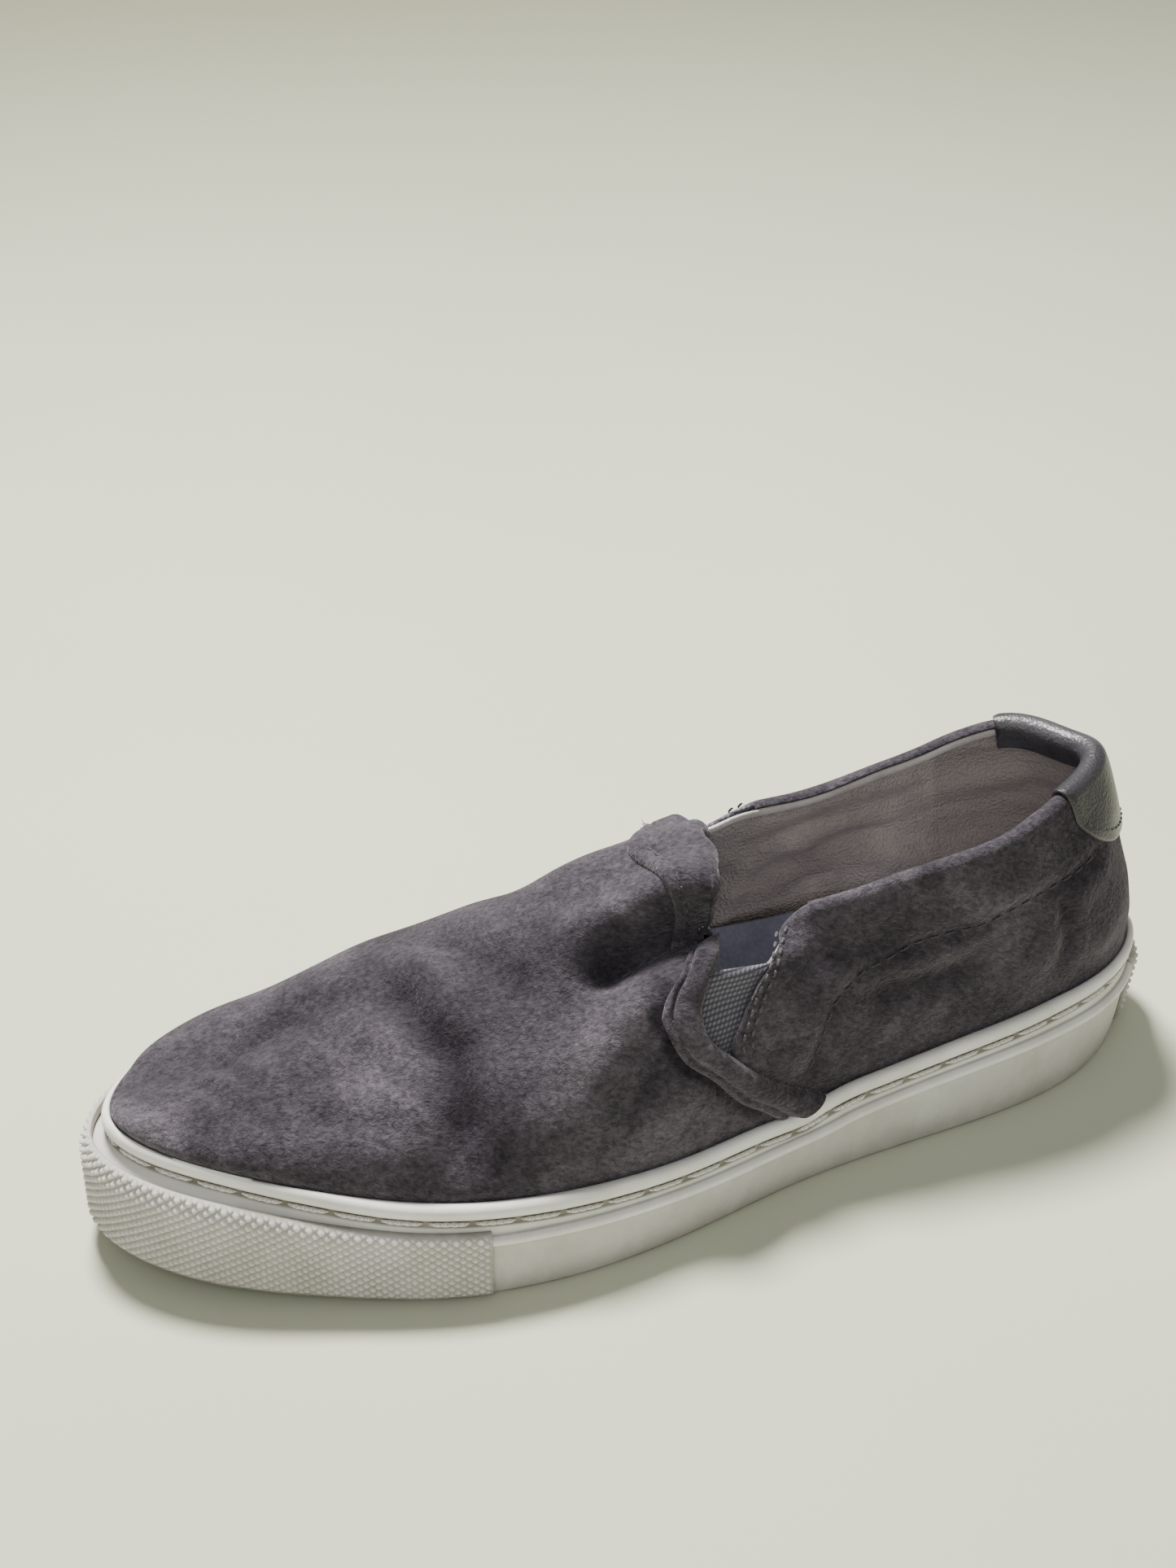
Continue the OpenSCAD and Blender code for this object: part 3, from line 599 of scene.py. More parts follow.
def blendc(t, fac, *stops):
    """A colour ramp; stops are (place, hex)."""
    node = add(t, "ShaderNodeValToRGB", {}, in0=fac)
    el = node.color_ramp.elements
    while len(el) < len(stops):
        el.new(0.5)
    for e, (pos, hexa) in zip(el, stops):
        e.position, e.color = pos, linear(hexa)
    return node.outputs[0]


def calc(t, op, a, b=None, c=None):
    """One sum on sockets or numbers."""
    node = add(t, "ShaderNodeMath", {"operation": op})
    for k, q in enumerate((a, b, c)):
        if q is None:
            continue
        if hasattr(q, "default_value"):
            t.links.new(q, node.inputs[k])
        else:
            node.inputs[k].default_value = q
    return node.outputs[0]


def tint(t, fac, a, b, mode="MIX"):
    """Mixes two colours, each a socket or a hex, by fac."""
    node = add(t, "ShaderNodeMix", {"data_type": "RGBA", "blend_type": mode})
    for k, q in zip((0, 6, 7), (fac, a, b)):
        if isinstance(q, str):
            node.inputs[k].default_value = linear(q)
        elif isinstance(q, (int, float)):
            node.inputs[k].default_value = q
        else:
            t.links.new(q, node.inputs[k])
    return node.outputs[2]


def xyz(t, place):
    return add(t, "ShaderNodeSeparateXYZ", {}, in0=place).outputs


def velour(s):
    """Cotton velour, cut pile: a grey nap brushed into lighter and darker patches, pale at a
    glancing eye, with a short tooth that leans one way. Painted shade darkens it in the creases
    and along the seams. The real pile is about 0.3 mm wide; it is drawn at 0.6 mm to show."""
    def strands(t, p, mm):
        q = xyz(t, p)
        lean = add(t, "ShaderNodeCombineXYZ", {}, X=calc(t, "MULTIPLY_ADD", q["Z"], 0.5,
                   calc(t, "MULTIPLY", q["X"], 0.55)), Y=q["Y"], Z=calc(t, "MULTIPLY_ADD", q["X"],
                   -0.6, q["Z"])).outputs[0]
        return noise(t, lean, mm, 3, 0.75, 0.5)
    def colour(t, p):
        patch = noise(t, p, 20, 4, 0.55, 0.8)
        crush = noise(t, p, 5, 4, 0.6, 1.2)
        mix = calc(t, "MULTIPLY_ADD", crush, 0.25, calc(t, "MULTIPLY", patch, 0.75))
        shade_in_creases = add(t, "ShaderNodeAttribute", {"attribute_name": "shade_and_soil"}).outputs["Fac"]
        # painted shade: the velour is darkened where the point attribute marks creases and seams
        mix = calc(t, "MULTIPLY_ADD", shade_in_creases, -0.2, mix)
        low = blendc(t, mix, (0.3, s.velour_dark), (0.5, s.velour), (0.66, s.velour_light))
        return tint(t, 0.58, low, blendc(t, strands(t, p, 0.7), (0.36, "#2e2c30"),
                                        (0.66, "#bdb8be")), "OVERLAY")
    def height(t, p):
        return calc(t, "ADD", strands(t, p, 0.6), calc(t, "MULTIPLY", noise(t, p, 4, 3), 1.6))
    return finish("Cotton_velour", {"Roughness": 1.0, "Sheen Weight": 0.5,
                  "Sheen Roughness": 0.3, "Sheen Tint": linear("#c9c4c8"),
                  "Specular IOR Level": 0.08}, colour, None, height, 0.85, 0.9)


def rubber(s, name="Moulded_white_rubber"):
    """Vulcanised white rubber, moulded and matt: near white, and grey where the point attribute is high:
    painted shade in the stitch groove, by the bead, inside the lip and between the bumpers' diamonds, and
    soil with scuffs together with painted shade, warm grey, low on the wall."""
    def shade_and_dirt(t, p):
        return add(t, "ShaderNodeAttribute", {"attribute_name": "shade_and_soil"}).outputs["Fac"]
    def colour(t, p):
        base = blendc(t, noise(t, p, 12, 6, 0.7, 0.3), (0.35, s.rubber_worn), (0.6, s.rubber))
        d = shade_and_dirt(t, p)
        patch = calc(t, "MULTIPLY", d, calc(t, "MULTIPLY_ADD", noise(t, p, 7, 6, 0.75, 0.4), 0.9,
                                            0.5))
        # painted shade and soil: grey where the attribute is high, shade in grooves and gaps, soil with
        # shade low on the wall
        base = tint(t, calc(t, "MINIMUM", patch, 0.92), base, "#6f695c")
        # dark scuff marks, scaled by the same attribute, so they fall in the painted shade of the groove as
        # well as on the soiled low wall
        mark = calc(t, "GREATER_THAN", noise(t, p, 1.8, 8, 0.8, 2.5), 0.7)
        return tint(t, calc(t, "MULTIPLY", calc(t, "MULTIPLY", mark, d), 0.8), base, "#5d574b")
    def height(t, p):
        return noise(t, p, 0.7, 4, 0.6)
    return finish(name, {"Roughness": 0.6, "IOR": 1.5, "Specular IOR Level": 0.4}, colour,
                  lambda t, p: calc(t, "MULTIPLY_ADD", noise(t, p, 9, 4), 0.3, 0.42), height, 0.1,
                  0.2)


def leather(name, dark, mid, light, rough=0.5, wrinkle=0.0, grain=1.0, coat=0.0, pocket=None):
    """Chrome-tanned grain leather: cells of about a millimetre with softer folds over them.
    Where the point attribute is 1, in the heel pocket behind its seam, it takes the pocket colour, a little
    darker."""
    def colour(t, p):
        c = blendc(t, noise(t, p, 9, 5, 0.6), (0.32, dark), (0.5, mid), (0.7, light))
        if pocket:
            part = add(t, "ShaderNodeAttribute", {"attribute_name": "shade_and_soil"}).outputs["Fac"]
            c = tint(t, part, c, pocket)
        return tint(t, 0.25, c, blendc(t, cells(t, p, grain), (0.1, "#9a9a9a"), (0.6, "#6a6a6a")),
                    "OVERLAY")
    def height(t, p):
        h = calc(t, "MULTIPLY", cells(t, p, grain), 0.5)
        h = calc(t, "ADD", h, calc(t, "MULTIPLY", noise(t, p, 5, 4), 0.8))
        if wrinkle:
            x = xyz(t, p)
            v = add(t, "ShaderNodeCombineXYZ", {}, X=calc(t, "MULTIPLY", x["X"], 0.25),
                    Y=calc(t, "MULTIPLY", x["Y"], 0.25), Z=x["Z"]).outputs[0]
            h = calc(t, "ADD", h, calc(t, "MULTIPLY", noise(t, v, 3.2, 3, 0.5, 0.6), wrinkle))
        return h
    return finish(name, {"Roughness": rough, "IOR": 1.5, "Coat Weight": coat,
                         "Coat Roughness": 0.35}, colour, None, height, 0.5 + 0.25 * min(wrinkle, 1.6),
                  0.5 + 0.4 * wrinkle)


def elastic(s):
    """Knitted elastic: close rows 1.2 mm apart round the foot, each of slanted dashes."""
    def wave(t, p):
        q = xyz(t, p)
        row = calc(t, "MULTIPLY", q["Z"], 1000 / 1.25)
        across = calc(t, "MULTIPLY_ADD", q["X"], 1000 / 1.3, calc(t, "MULTIPLY", q["Z"], 420.0))
        r = calc(t, "ABSOLUTE", calc(t, "SINE", calc(t, "MULTIPLY", row, math.pi)))
        d = calc(t, "MULTIPLY_ADD", calc(t, "SINE", calc(t, "MULTIPLY", across, 2 * math.pi)),
                 0.3, 0.7)
        return calc(t, "MULTIPLY", r, d)
    return finish("Woven_elastic", {"Roughness": 0.85, "Sheen Weight": 0.3,
                  "Sheen Roughness": 0.5}, lambda t, p: blendc(t, wave(t, p), (0.1, "#3b3941"),
                  (0.55, s.elastic), (0.95, "#7d7b88")), None, wave, 0.7, 0.5)


def thread(name, light, dark):
    """Twisted sewing thread, slightly waxed: fine slanted ply lines 0.6 mm apart."""
    def ply(t, p):
        q = xyz(t, p)
        s = calc(t, "ADD", calc(t, "MULTIPLY", q["X"], 1.0), calc(t, "MULTIPLY_ADD", q["Z"], 1.6,
                 calc(t, "MULTIPLY", q["Y"], 0.8)))
        return calc(t, "MULTIPLY_ADD", calc(t, "SINE", calc(t, "MULTIPLY", s, 2 * math.pi * 1250)),
                    0.5, 0.5)
    return finish(name, {"Roughness": 0.7, "Sheen Weight": 0.2},
                  lambda t, p: blendc(t, ply(t, p), (0.0, dark), (0.7, light)), None, ply, 0.5, 0.2)


def plain(name, a, b, mm, rough=0.85, bump=0.4):
    """Fibre board, foam or felt: an even speckle of its own colour."""
    return finish(name, {"Roughness": rough}, lambda t, p: blendc(t, noise(t, p, mm, 4, 0.7),
                  (0.35, a), (0.65, b)), None, lambda t, p: noise(t, p, mm, 3), bump, 0.4)


def floor_finish():
    """Matt painted board, pale sage grey, darkened towards its far side by painted shade, where the light
    falls off.
    """
    def colour(t, p):
        # painted shade: the floor grows darker with distance on its far side
        far = calc(t, "MULTIPLY_ADD", xyz(t, p)["Y"], -0.9, -0.05)
        near = blendc(t, noise(t, p, 160, 3), (0.3, "#c9cbb6"), (0.7, "#d0d2be"))
        return tint(t, calc(t, "MINIMUM", calc(t, "MAXIMUM", far, 0.0), 0.9), near, "#a6a78f")
    return finish("Painted_board", {"Roughness": 0.9, "Specular IOR Level": 0.2}, colour)


# ---------------------------------------------------------------------------
# Settings
# ---------------------------------------------------------------------------
def size_of(label, text, default, low, high):
    return bpy.props.FloatProperty(name=label, description=text, default=default, min=low,
                                   max=high, unit="NONE")


def colour_of(label, text, default):
    return bpy.props.StringProperty(name=label, description=text + ", as sRGB hex",
                                    default=default)


class SoleSettings(bpy.types.PropertyGroup):
    knurl_pitch: size_of("Knurl pitch", "Width of one diamond of the bumper, mm", 2.9, 1, 8)
    knurl_row: size_of("Knurl row", "Height of one diamond of the bumper, mm", 2.25, 1, 8)
    knurl_depth: size_of("Knurl depth", "Height of the diamonds, mm", 1.05, 0, 2)
    stitch_pitch: size_of("Stitch pitch", "Distance between sole stitches, mm", 11.2, 5, 20)
    stitch_length: size_of("Stitch length", "Length of one sole stitch, mm", 9.8, 3, 18)
    stitch_width: size_of("Stitch width", "Width of the sole thread, mm", 1.3, 0.5, 3)
    rubber: colour_of("Rubber", "Colour of clean rubber", "#efeeea")
    rubber_worn: colour_of("Worn rubber", "Colour of handled rubber", "#e0ddd6")


class UpperSettings(bpy.types.PropertyGroup):
    skin: size_of("Velour", "Thickness of the velour, mm", 1.5, 0.5, 3)
    core: size_of("Core", "Thickness of the layer between velour and lining, mm", 1.3, 0.5, 3)
    lining: size_of("Lining", "Thickness of the lining, mm", 0.9, 0.5, 2)
    band: size_of("Band", "Thickness of the rolled bands, mm", 3.0, 0.5, 3)
    tack: size_of("Upper stitch", "Distance between stitches of the upper, mm", 3.0, 1, 8)
    velour: colour_of("Velour", "Middle tone of the velour", "#524e54")
    velour_dark: colour_of("Velour dark", "Nap brushed away", "#353237")
    velour_light: colour_of("Velour light", "Nap brushed towards", "#706b71")
    elastic: colour_of("Elastic", "Colour of the elastic", "#5a5863")


def sole():
    return bpy.context.scene.moccasin_sole


def upper():
    return bpy.context.scene.moccasin_upper


def lib(key, build):
    """A finish that several pieces share, made once."""
    got = bpy.data.materials.get(key)
    return got or build()


def velour_finish():
    return lib("Cotton_velour", lambda: velour(upper()))


# ---------------------------------------------------------------------------
# Pieces
# ---------------------------------------------------------------------------
class OBJECT_OT_cup_sole(bpy.types.Operator):
    """Cup sole: one profile carried round the outline, with bead, stitch groove and lip"""
    bl_idname = "moccasin.cup_sole"
    bl_label = "Cup sole"

    def execute(self, context):
        toe = lambda x: 3.4 * ramp((x - 70) / 60)
        low = lambda k, z: (lambda u, x: (k, spring(x) + z))
        rdg = lambda k, z: (lambda u, x: (k, rule(RIDGE, x) + z))
        lip = lambda k, z: (lambda u, x: (k + toe(x), rule(LIP, x) + z))
        mid = lambda k, q: (lambda u, x: (k + toe(x) * q, rule(RIDGE, x) * (1 - q)
                                          + (rule(LIP, x) - 6.2) * q + 1.4 * (1 - q)))
        # The second number of each rule is how dark the rubber is painted on that ring, 0 white to 1 grey:
        # soil with painted shade low on the wall and at its foot, painted shade just under and over the
        # bead and in the stitch groove, and the hidden inside of the lip.
        rules = [(low(7, 2.6), 1), (low(7, 0.02), 1), (low(1.8, 0), 1), (low(0.7, 0.3), 0.8),
                 (low(0.2, 1.2), 0.6),
                 (lambda u, x: (0.0, (rule(RIDGE, x) + spring(x)) * 0.3 + 1), 0.42),
                 (lambda u, x: (0.0, (rule(RIDGE, x) + spring(x)) * 0.5), 0.36),
                 (rdg(0.1, -3.0), 0.35), (rdg(0.2, -1.4), 0.4), (rdg(0.25, -1.05), 0.8),
                 (rdg(-0.5, -0.95), 0.0), (rdg(-1.0, -0.5), 0.0), (rdg(-1.05, 0.2), 0.0),
                 (rdg(-0.75, 0.9), 0.0), (rdg(0.0, 1.25), 0.0), (rdg(0.8, 1.35), 0.6),
                 (mid(1.0, 0.05), 0.35), (mid(0.95, 0.5), 0.14), (mid(1.0, 0.95), 0.14),
                 (lip(1.05, -6.1), 0.3), (lip(1.2, -5.85), 0.7), (lip(1.5, -5.65), 1.0),
                 (lip(1.6, -5.2), 1.0), (lip(1.65, -4.6), 1.0), (lip(1.6, -4.0), 1.0),
                 (lip(1.4, -3.65), 1.0), (lip(1.1, -3.45), 0.8), (lip(0.85, -3.3), 0.2),
                 (lip(0.65, -2.7), 0), (lip(0.65, -1.8), 0), (lip(0.85, -1.0), 0),
                 (lip(1.3, -0.35), 0), (lip(2.0, 0), 0),
                 (lambda u, x: (rule(LIP_INSET, x) - 0.6, rule(LIP, x) - 0.1), 0.1),
                 (lambda u, x: (rule(LIP_INSET, x) - 0.1, rule(LIP, x) - 0.7), 0.5),
                 (lambda u, x: (rule(LIP_INSET, x) - 0.1, rule(LIP, x) * 0.5 + 5), 0.5),
                 (lambda u, x: (rule(LIP_INSET, x) - 0.1, spring(x) + FLOOR), 0.5)]
        n = len(rules)
        obj = loft("Cup_sole", ring_wall([r[0] for r in rules], 560, plumb=(n - 3, n - 2, n - 1)))
        shade_and_soil(obj, np.repeat([r[1] for r in rules], 560))
        dress(obj, lib("Moulded_white_rubber", lambda: rubber(sole())), "shoe",
              "white_rubber", "cup_sole")
        return {"FINISHED"}


class OBJECT_OT_bumpers(bpy.types.Operator):
    """Toe and heel bumpers: a skin on the wall with diamonds, where the height of a point is
    the smaller of two crossing triangle waves"""
    bl_idname = "moccasin.bumpers"
    bl_label = "Knurled bumpers"

    def strip(self, u, rows, name, node):
        c = sole()
        x = station(u)
        s, r = spring(x), rule(RIDGE, x)
        p = wall(u, 0, r)
        run = np.r_[0, np.cumsum(np.linalg.norm(np.diff(p, axis=0), axis=1))]
        t = np.linspace(0, 1, rows)[:, None]
        high = r + 2.9 + 1.4 * ramp((x - 75) / 50)
        z = s + 1.0 + (high - s - 1.0) * t
        a = run / c.knurl_pitch
        b = (high - z) / c.knurl_row
        wave = lambda q: 1 - np.abs(2 * (q - np.floor(q)) - 1)
        h = np.minimum(wave(a + b), wave(a - b)) * 2
        ends = ramp(np.minimum(run, run[-1] - run) / 1.2)
        fade = ramp((z - s - 1.0) / 2.5) * ramp((high - z) / 0.5)
        h = np.minimum(h, 1) * c.knurl_depth * ends * fade
        lean = 3.4 * ramp((x - 70) / 60) * 0.35 * ramp((z - r) / 3)
        skin = lambda k: np.stack([wall(u, -k[j], z[j]) for j in range(rows)])
        full = (0.75 + 0.45 * ramp(t * 8)) * (1 - 0.55 * ramp((t - 0.965) / 0.035)) + 0 * z - lean
        face, back = skin(full + h), skin(0 * z + 0.05 - 1.2 * ramp((z - r) / 2))
        obj = shell(name, face, back)
        # how dark the rubber is painted: painted shade in the gaps between the diamonds, partly wear and
        # partly painted shade towards the lower rows, and dark on the hidden back
        shade_and_soil(obj, np.concatenate([(0.10 + 0.45 * (1 - h / c.knurl_depth) + 0.25 * (1 - t)).ravel(),
                                  np.full(z.size, 0.8)]))
        dress(obj, lib("Moulded_white_rubber", lambda: rubber(c)), "shoe", "white_rubber", node)

    def execute(self, context):
        u0, u1 = float(find(1, 57.0)), float(find(-1, 57.0))
        self.strip(np.linspace(u0, u1, 880), 76, "Toe_bumper", "toe_bumper")
        self.strip(np.linspace(-0.42, 0.42, 90), 60, "Heel_bumper", "heel_bumper")
        return {"FINISHED"}


class OBJECT_OT_sole_stitching(bpy.types.Operator):
    """Sole stitches: short ropes laid end to end in the groove, evenly spaced round the lip"""
    bl_idname = "moccasin.sole_stitching"
    bl_label = "Sole stitching"

    def execute(self, context):
        c = sole()
        u = np.linspace(0, 20, 4001)
        z = rule(LIP, station(u)) - 4.65
        p = wall(u, 1.0 + 3.4 * ramp((station(u) - 70) / 60), z)
        run = np.r_[0, np.cumsum(np.linalg.norm(np.diff(p, axis=0), axis=1))]
        n = round(run[-1] / c.stitch_pitch)
        s0 = np.arange(n) * run[-1] / n
        at = lambda s: np.stack([np.interp(s % run[-1], run, p[:, k]) for k in range(3)], -1)
        mid = outward(np.interp(s0 + c.stitch_length / 2, run, u))
        up = np.concatenate([mid, 0 * mid[:, :1]], 1)
        obj = stitches("Sole_stitching", at(s0), at(s0 + c.stitch_length), up, 0.9,
                       c.stitch_width, twist=30, sides=10, steps=24, dive=0.45)
        dress(obj, thread("Waxed_cotton_thread", "#f1efe9", "#c9c5bb"), "shoe", "white_thread",
              "sole_stitching")
        return {"FINISHED"}


class OBJECT_OT_tread(bpy.types.Operator):
    """Tread inlay: strips across the sole; the underside has wavy grooves, a folded cosine
    of the distance along the sole shifted by a triangle wave across it"""
    bl_idname = "moccasin.tread"
    bl_label = "Tread inlay"

    def execute(self, context):
        t = np.linspace(0.012, 0.988, 420)
        x = -142.2 + (141.2 + 142.2) * (1 - np.cos(np.pi * t)) / 2
        ends = []
        for side in (1, -1):
            u = find(side, x)
            ends.append((outline(u) - 7.3 * outward(u)) * SCALE[:2])
        k = np.linspace(0, 1, 90)[None, :, None]
        q = ends[0][:, None] * (1 - k) + ends[1][:, None] * k
        zig = np.abs(((q[..., 1] / 11) % 1) * 2 - 1) * 5
        groove = ramp(np.cos(2 * np.pi * (q[..., 0] + zig) / 6.2) * 2.2 - 1.0)
        rim = np.minimum(np.minimum(k[..., 0], 1 - k[..., 0]) * 10, 1)
        s = spring(q[..., 0])
        low = np.concatenate([q, (s + 1.3 * groove * (rim >= 1))[..., None]], -1)
        high = np.concatenate([q, (s + 2.5)[..., None]], -1)
        obj = shell("Tread_inlay", high, low)
        shade_and_soil(obj, np.full(len(obj.data.vertices), 0.9))
        dress(obj, lib("Moulded_grey_rubber", lambda: rubber(sole(), "Moulded_grey_rubber")),
              "shoe", "white_rubber", "outsole_inlay")
        return {"FINISHED"}


class OBJECT_OT_footbed(bpy.types.Operator):
    """Board, foam and sock: bodies lofted inside the cup; the sock is a tray with a soft rim"""
    bl_idname = "moccasin.footbed"
    bl_label = "Footbed"

    def execute(self, context):
        ins = lambda k, z: (lambda u, x: (rule(LIP_INSET, x) + k, spring(x) + z))
        board = loft("Insole_board", ring_wall([ins(4.3, 9.1), ins(4.1, 9.5), ins(4.1, 10.3),
                     ins(4.3, 10.7)], 240))
        dress(board, plain("Fibre_board", "#8f7550", "#b79c70", 1.5), "shoe", "fibre_board",
              "insole_board")
        foam = loft("Footbed_foam", ring_wall([ins(5.6, 10.8), ins(5, 11.4), ins(4.9, 13.6),
                    ins(5, 15.9), ins(5.6, 16.5)], 240))
        dress(foam, lib("Latex_foam", lambda: plain("Latex_foam", "#cfc49b", "#e2d9b6", 0.9)),
              "shoe", "foam", "footbed_foam")
        rim = lambda x: spring(x) + 17.9 + 16.6 * ramp((25 - x) / 50)
        lean = lambda x: 5 * ramp((25 - x) / 50)
        i = lambda x: rule(LIP_INSET, x)
        rules = [lambda u, x: (i(x) + 7, spring(x) + 16.6), lambda u, x: (i(x) + 5.4, spring(x) + 16.6),
                 lambda u, x: (i(x) + 5.2 + lean(x) * 0.2, (rim(x) + spring(x) + 16.6) / 2),
                 lambda u, x: (i(x) + 5.2 + lean(x) * 0.4, rim(x) - 0.8),
                 lambda u, x: (i(x) + 5.5 + lean(x) * 0.4, rim(x)),
                 lambda u, x: (i(x) + 6.0 + lean(x) * 0.4, rim(x)),
                 lambda u, x: (i(x) + 6.3 + lean(x) * 0.4, rim(x) - 0.6),
                 lambda u, x: (i(x) + 6.6 + lean(x) * 0.7, rim(x) * 0.5 + spring(x) * 0.5 + 9),
                 lambda u, x: (i(x) + 7.2 + lean(x), spring(x) + 19.6),
                 lambda u, x: (i(x) + 8.8 + lean(x), spring(x) + 18.3),
                 lambda u, x: (i(x) + 11 + lean(x), spring(x) + 17.8),
                 lambda u, x: (i(x) + 16 + lean(x), spring(x) + 17.6)]
        sock = loft("Sock_lining", ring_wall(rules, 360))
        dress(sock, leather("Sock_leather", "#6d6d7d", "#828294", "#9a9aab", 0.6, 0.5, 1.3),
              "shoe", "sock_leather", "sock_lining", "sock_rim")
        return {"FINISHED"}


class OBJECT_OT_vamp(bpy.types.Operator):
    """Vamp: the velour front of the upper, one sheet from lip over the foot to lip, shut at
    the toe, lying on the worn arch"""
    bl_idname = "moccasin.vamp"
    bl_label = "Velour vamp"

    def execute(self, context):
        c = upper()
        edge = lambda side, v: seam(side, VAMP_EDGE, v)
        v = cols(78)
        obj = shell("Vamp", front_grid(0, v, edge, 190), front_grid(-c.skin, v, edge, 190), True)
        co = np.array([q.co for q in obj.data.vertices]) * 1000
        # painted shade in the creases and along the seams, stored for the velour to read
        shade_and_soil(obj, painted_crease_shade(co))
        dress(obj, velour_finish(), "bend", "velour", "vamp", "vamp_throat")
        return {"FINISHED"}


class OBJECT_OT_vamp_layers(bpy.types.Operator):
    """Lining, backing cloth and toe puff: layers under the velour on the same arch"""
    bl_idname = "moccasin.vamp_layers"
    bl_label = "Layers under the vamp"

    def execute(self, context):
        c = upper()
        edge = lambda side, v: seam(side, VAMP_EDGE, v) + 1.5
        v = cols(46, -0.85)
        a = -c.skin - c.core - 0.2
        lining = shell("Vamp_lining", front_grid(a, v, edge, 110),
                       front_grid(a - c.lining, v, edge, 110), True)
        dress(lining, lib("Lining_leather", lambda: leather("Lining_leather", "#9d938e", "#b0a6a1",
              "#c2b9b4", 0.65, 1.6, 0.8,
              pocket="#a89e99")), "bend", "lining_leather", "vamp_lining",
              "throat_lining")
        a = -c.skin - 0.1
        v = cols(40, -0.9)
        t = np.linspace(0, 1, 60)[:, None]
        def across_foot(lift, x0, x1):
            u = [find(side, x0(side, v) * (1 - t) + x1 * t) for side in (1, -1)]
            uu = np.concatenate([u[0], u[1][:, :-1][:, ::-1]], 1)
            return on(uu, np.broadcast_to(np.r_[v, v[:-1][::-1]], uu.shape), lift)
        back = lambda side, v: seam(side, VAMP_EDGE, v) + 8
        backing = shell("Vamp_backing", across_foot(a, back, 106.6),
                        across_foot(a - c.core, back, 106.6))
        dress(backing, plain("Backing_cloth", "#9a958b", "#b3aea4", 0.7), "bend", "backing_cloth",
              "vamp_backing")
        puff = shell("Toe_puff", front_grid(a, v, lambda side, v: 107 + 0 * v, 40, 1.7),
                     front_grid(a - c.core, v, lambda side, v: 107 + 0 * v, 40, 1.7), True)
        dress(puff, plain("Stiffened_felt", "#bfb8a6", "#d2ccbc", 0.8), "shoe", "stiffener",
              "toe_puff")
        return {"FINISHED"}


class OBJECT_OT_quarters(bpy.types.Operator):
    """Quarters: velour sides of the heel; above the topline the sheet turns inwards round a
    half circle, like a rolled hem over foam"""
    bl_idname = "moccasin.quarters"
    bl_label = "Velour quarters"

    def execute(self, context):
        c = upper()
        w = np.r_[-1, -0.5, np.linspace(0, 1, 60)]
        turn = np.radians(np.linspace(12, 128, 12))
        for side, node in ((1, "lateral"), (-1, "medial")):
            u, v = heel_grid(side, 0, w, 120, QUARTER_EDGE)
            t = np.linspace(0, 1, 120)[:, None]
            corner = np.sqrt(1 - (1 - np.clip(t / 0.07, 0, 1))**2)
            v = np.where(v > 0, v * (1 - 0.08 * (1 - corner)), v)
            round_r = (0.2 + 0.8 * corner)[..., None]
            def grid(lift, r):
                r = r * round_r
                body = on(u, v, lift)
                n = normal_of(arch, u[:, -1:], v[:, -1:])
                e = on(u[:, -1:], v[:, -1:], 0) - 2.4 * round_r * n
                up = arch(u[:, -1:], v[:, -1:]) - arch(u[:, -1:], v[:, -1:] - 0.01)
                up /= np.linalg.norm(up, axis=-1)[..., None]
                a = turn[None, :, None]
                return np.concatenate([body, e + r * (np.cos(a) * n + np.sin(a) * up)], 1)
            obj = layer(f"Quarter_{node}", -side, grid(0, 2.4), grid(-c.skin, 2.4 - c.skin))
            # painted shade in the creases and along the seam, stored for the velour to read
            shade_and_soil(obj, painted_crease_shade(np.array([q.co for q in obj.data.vertices]) * 1000))
            dress(obj, velour_finish(), "shoe", "velour", f"quarter_{node}")
        return {"FINISHED"}


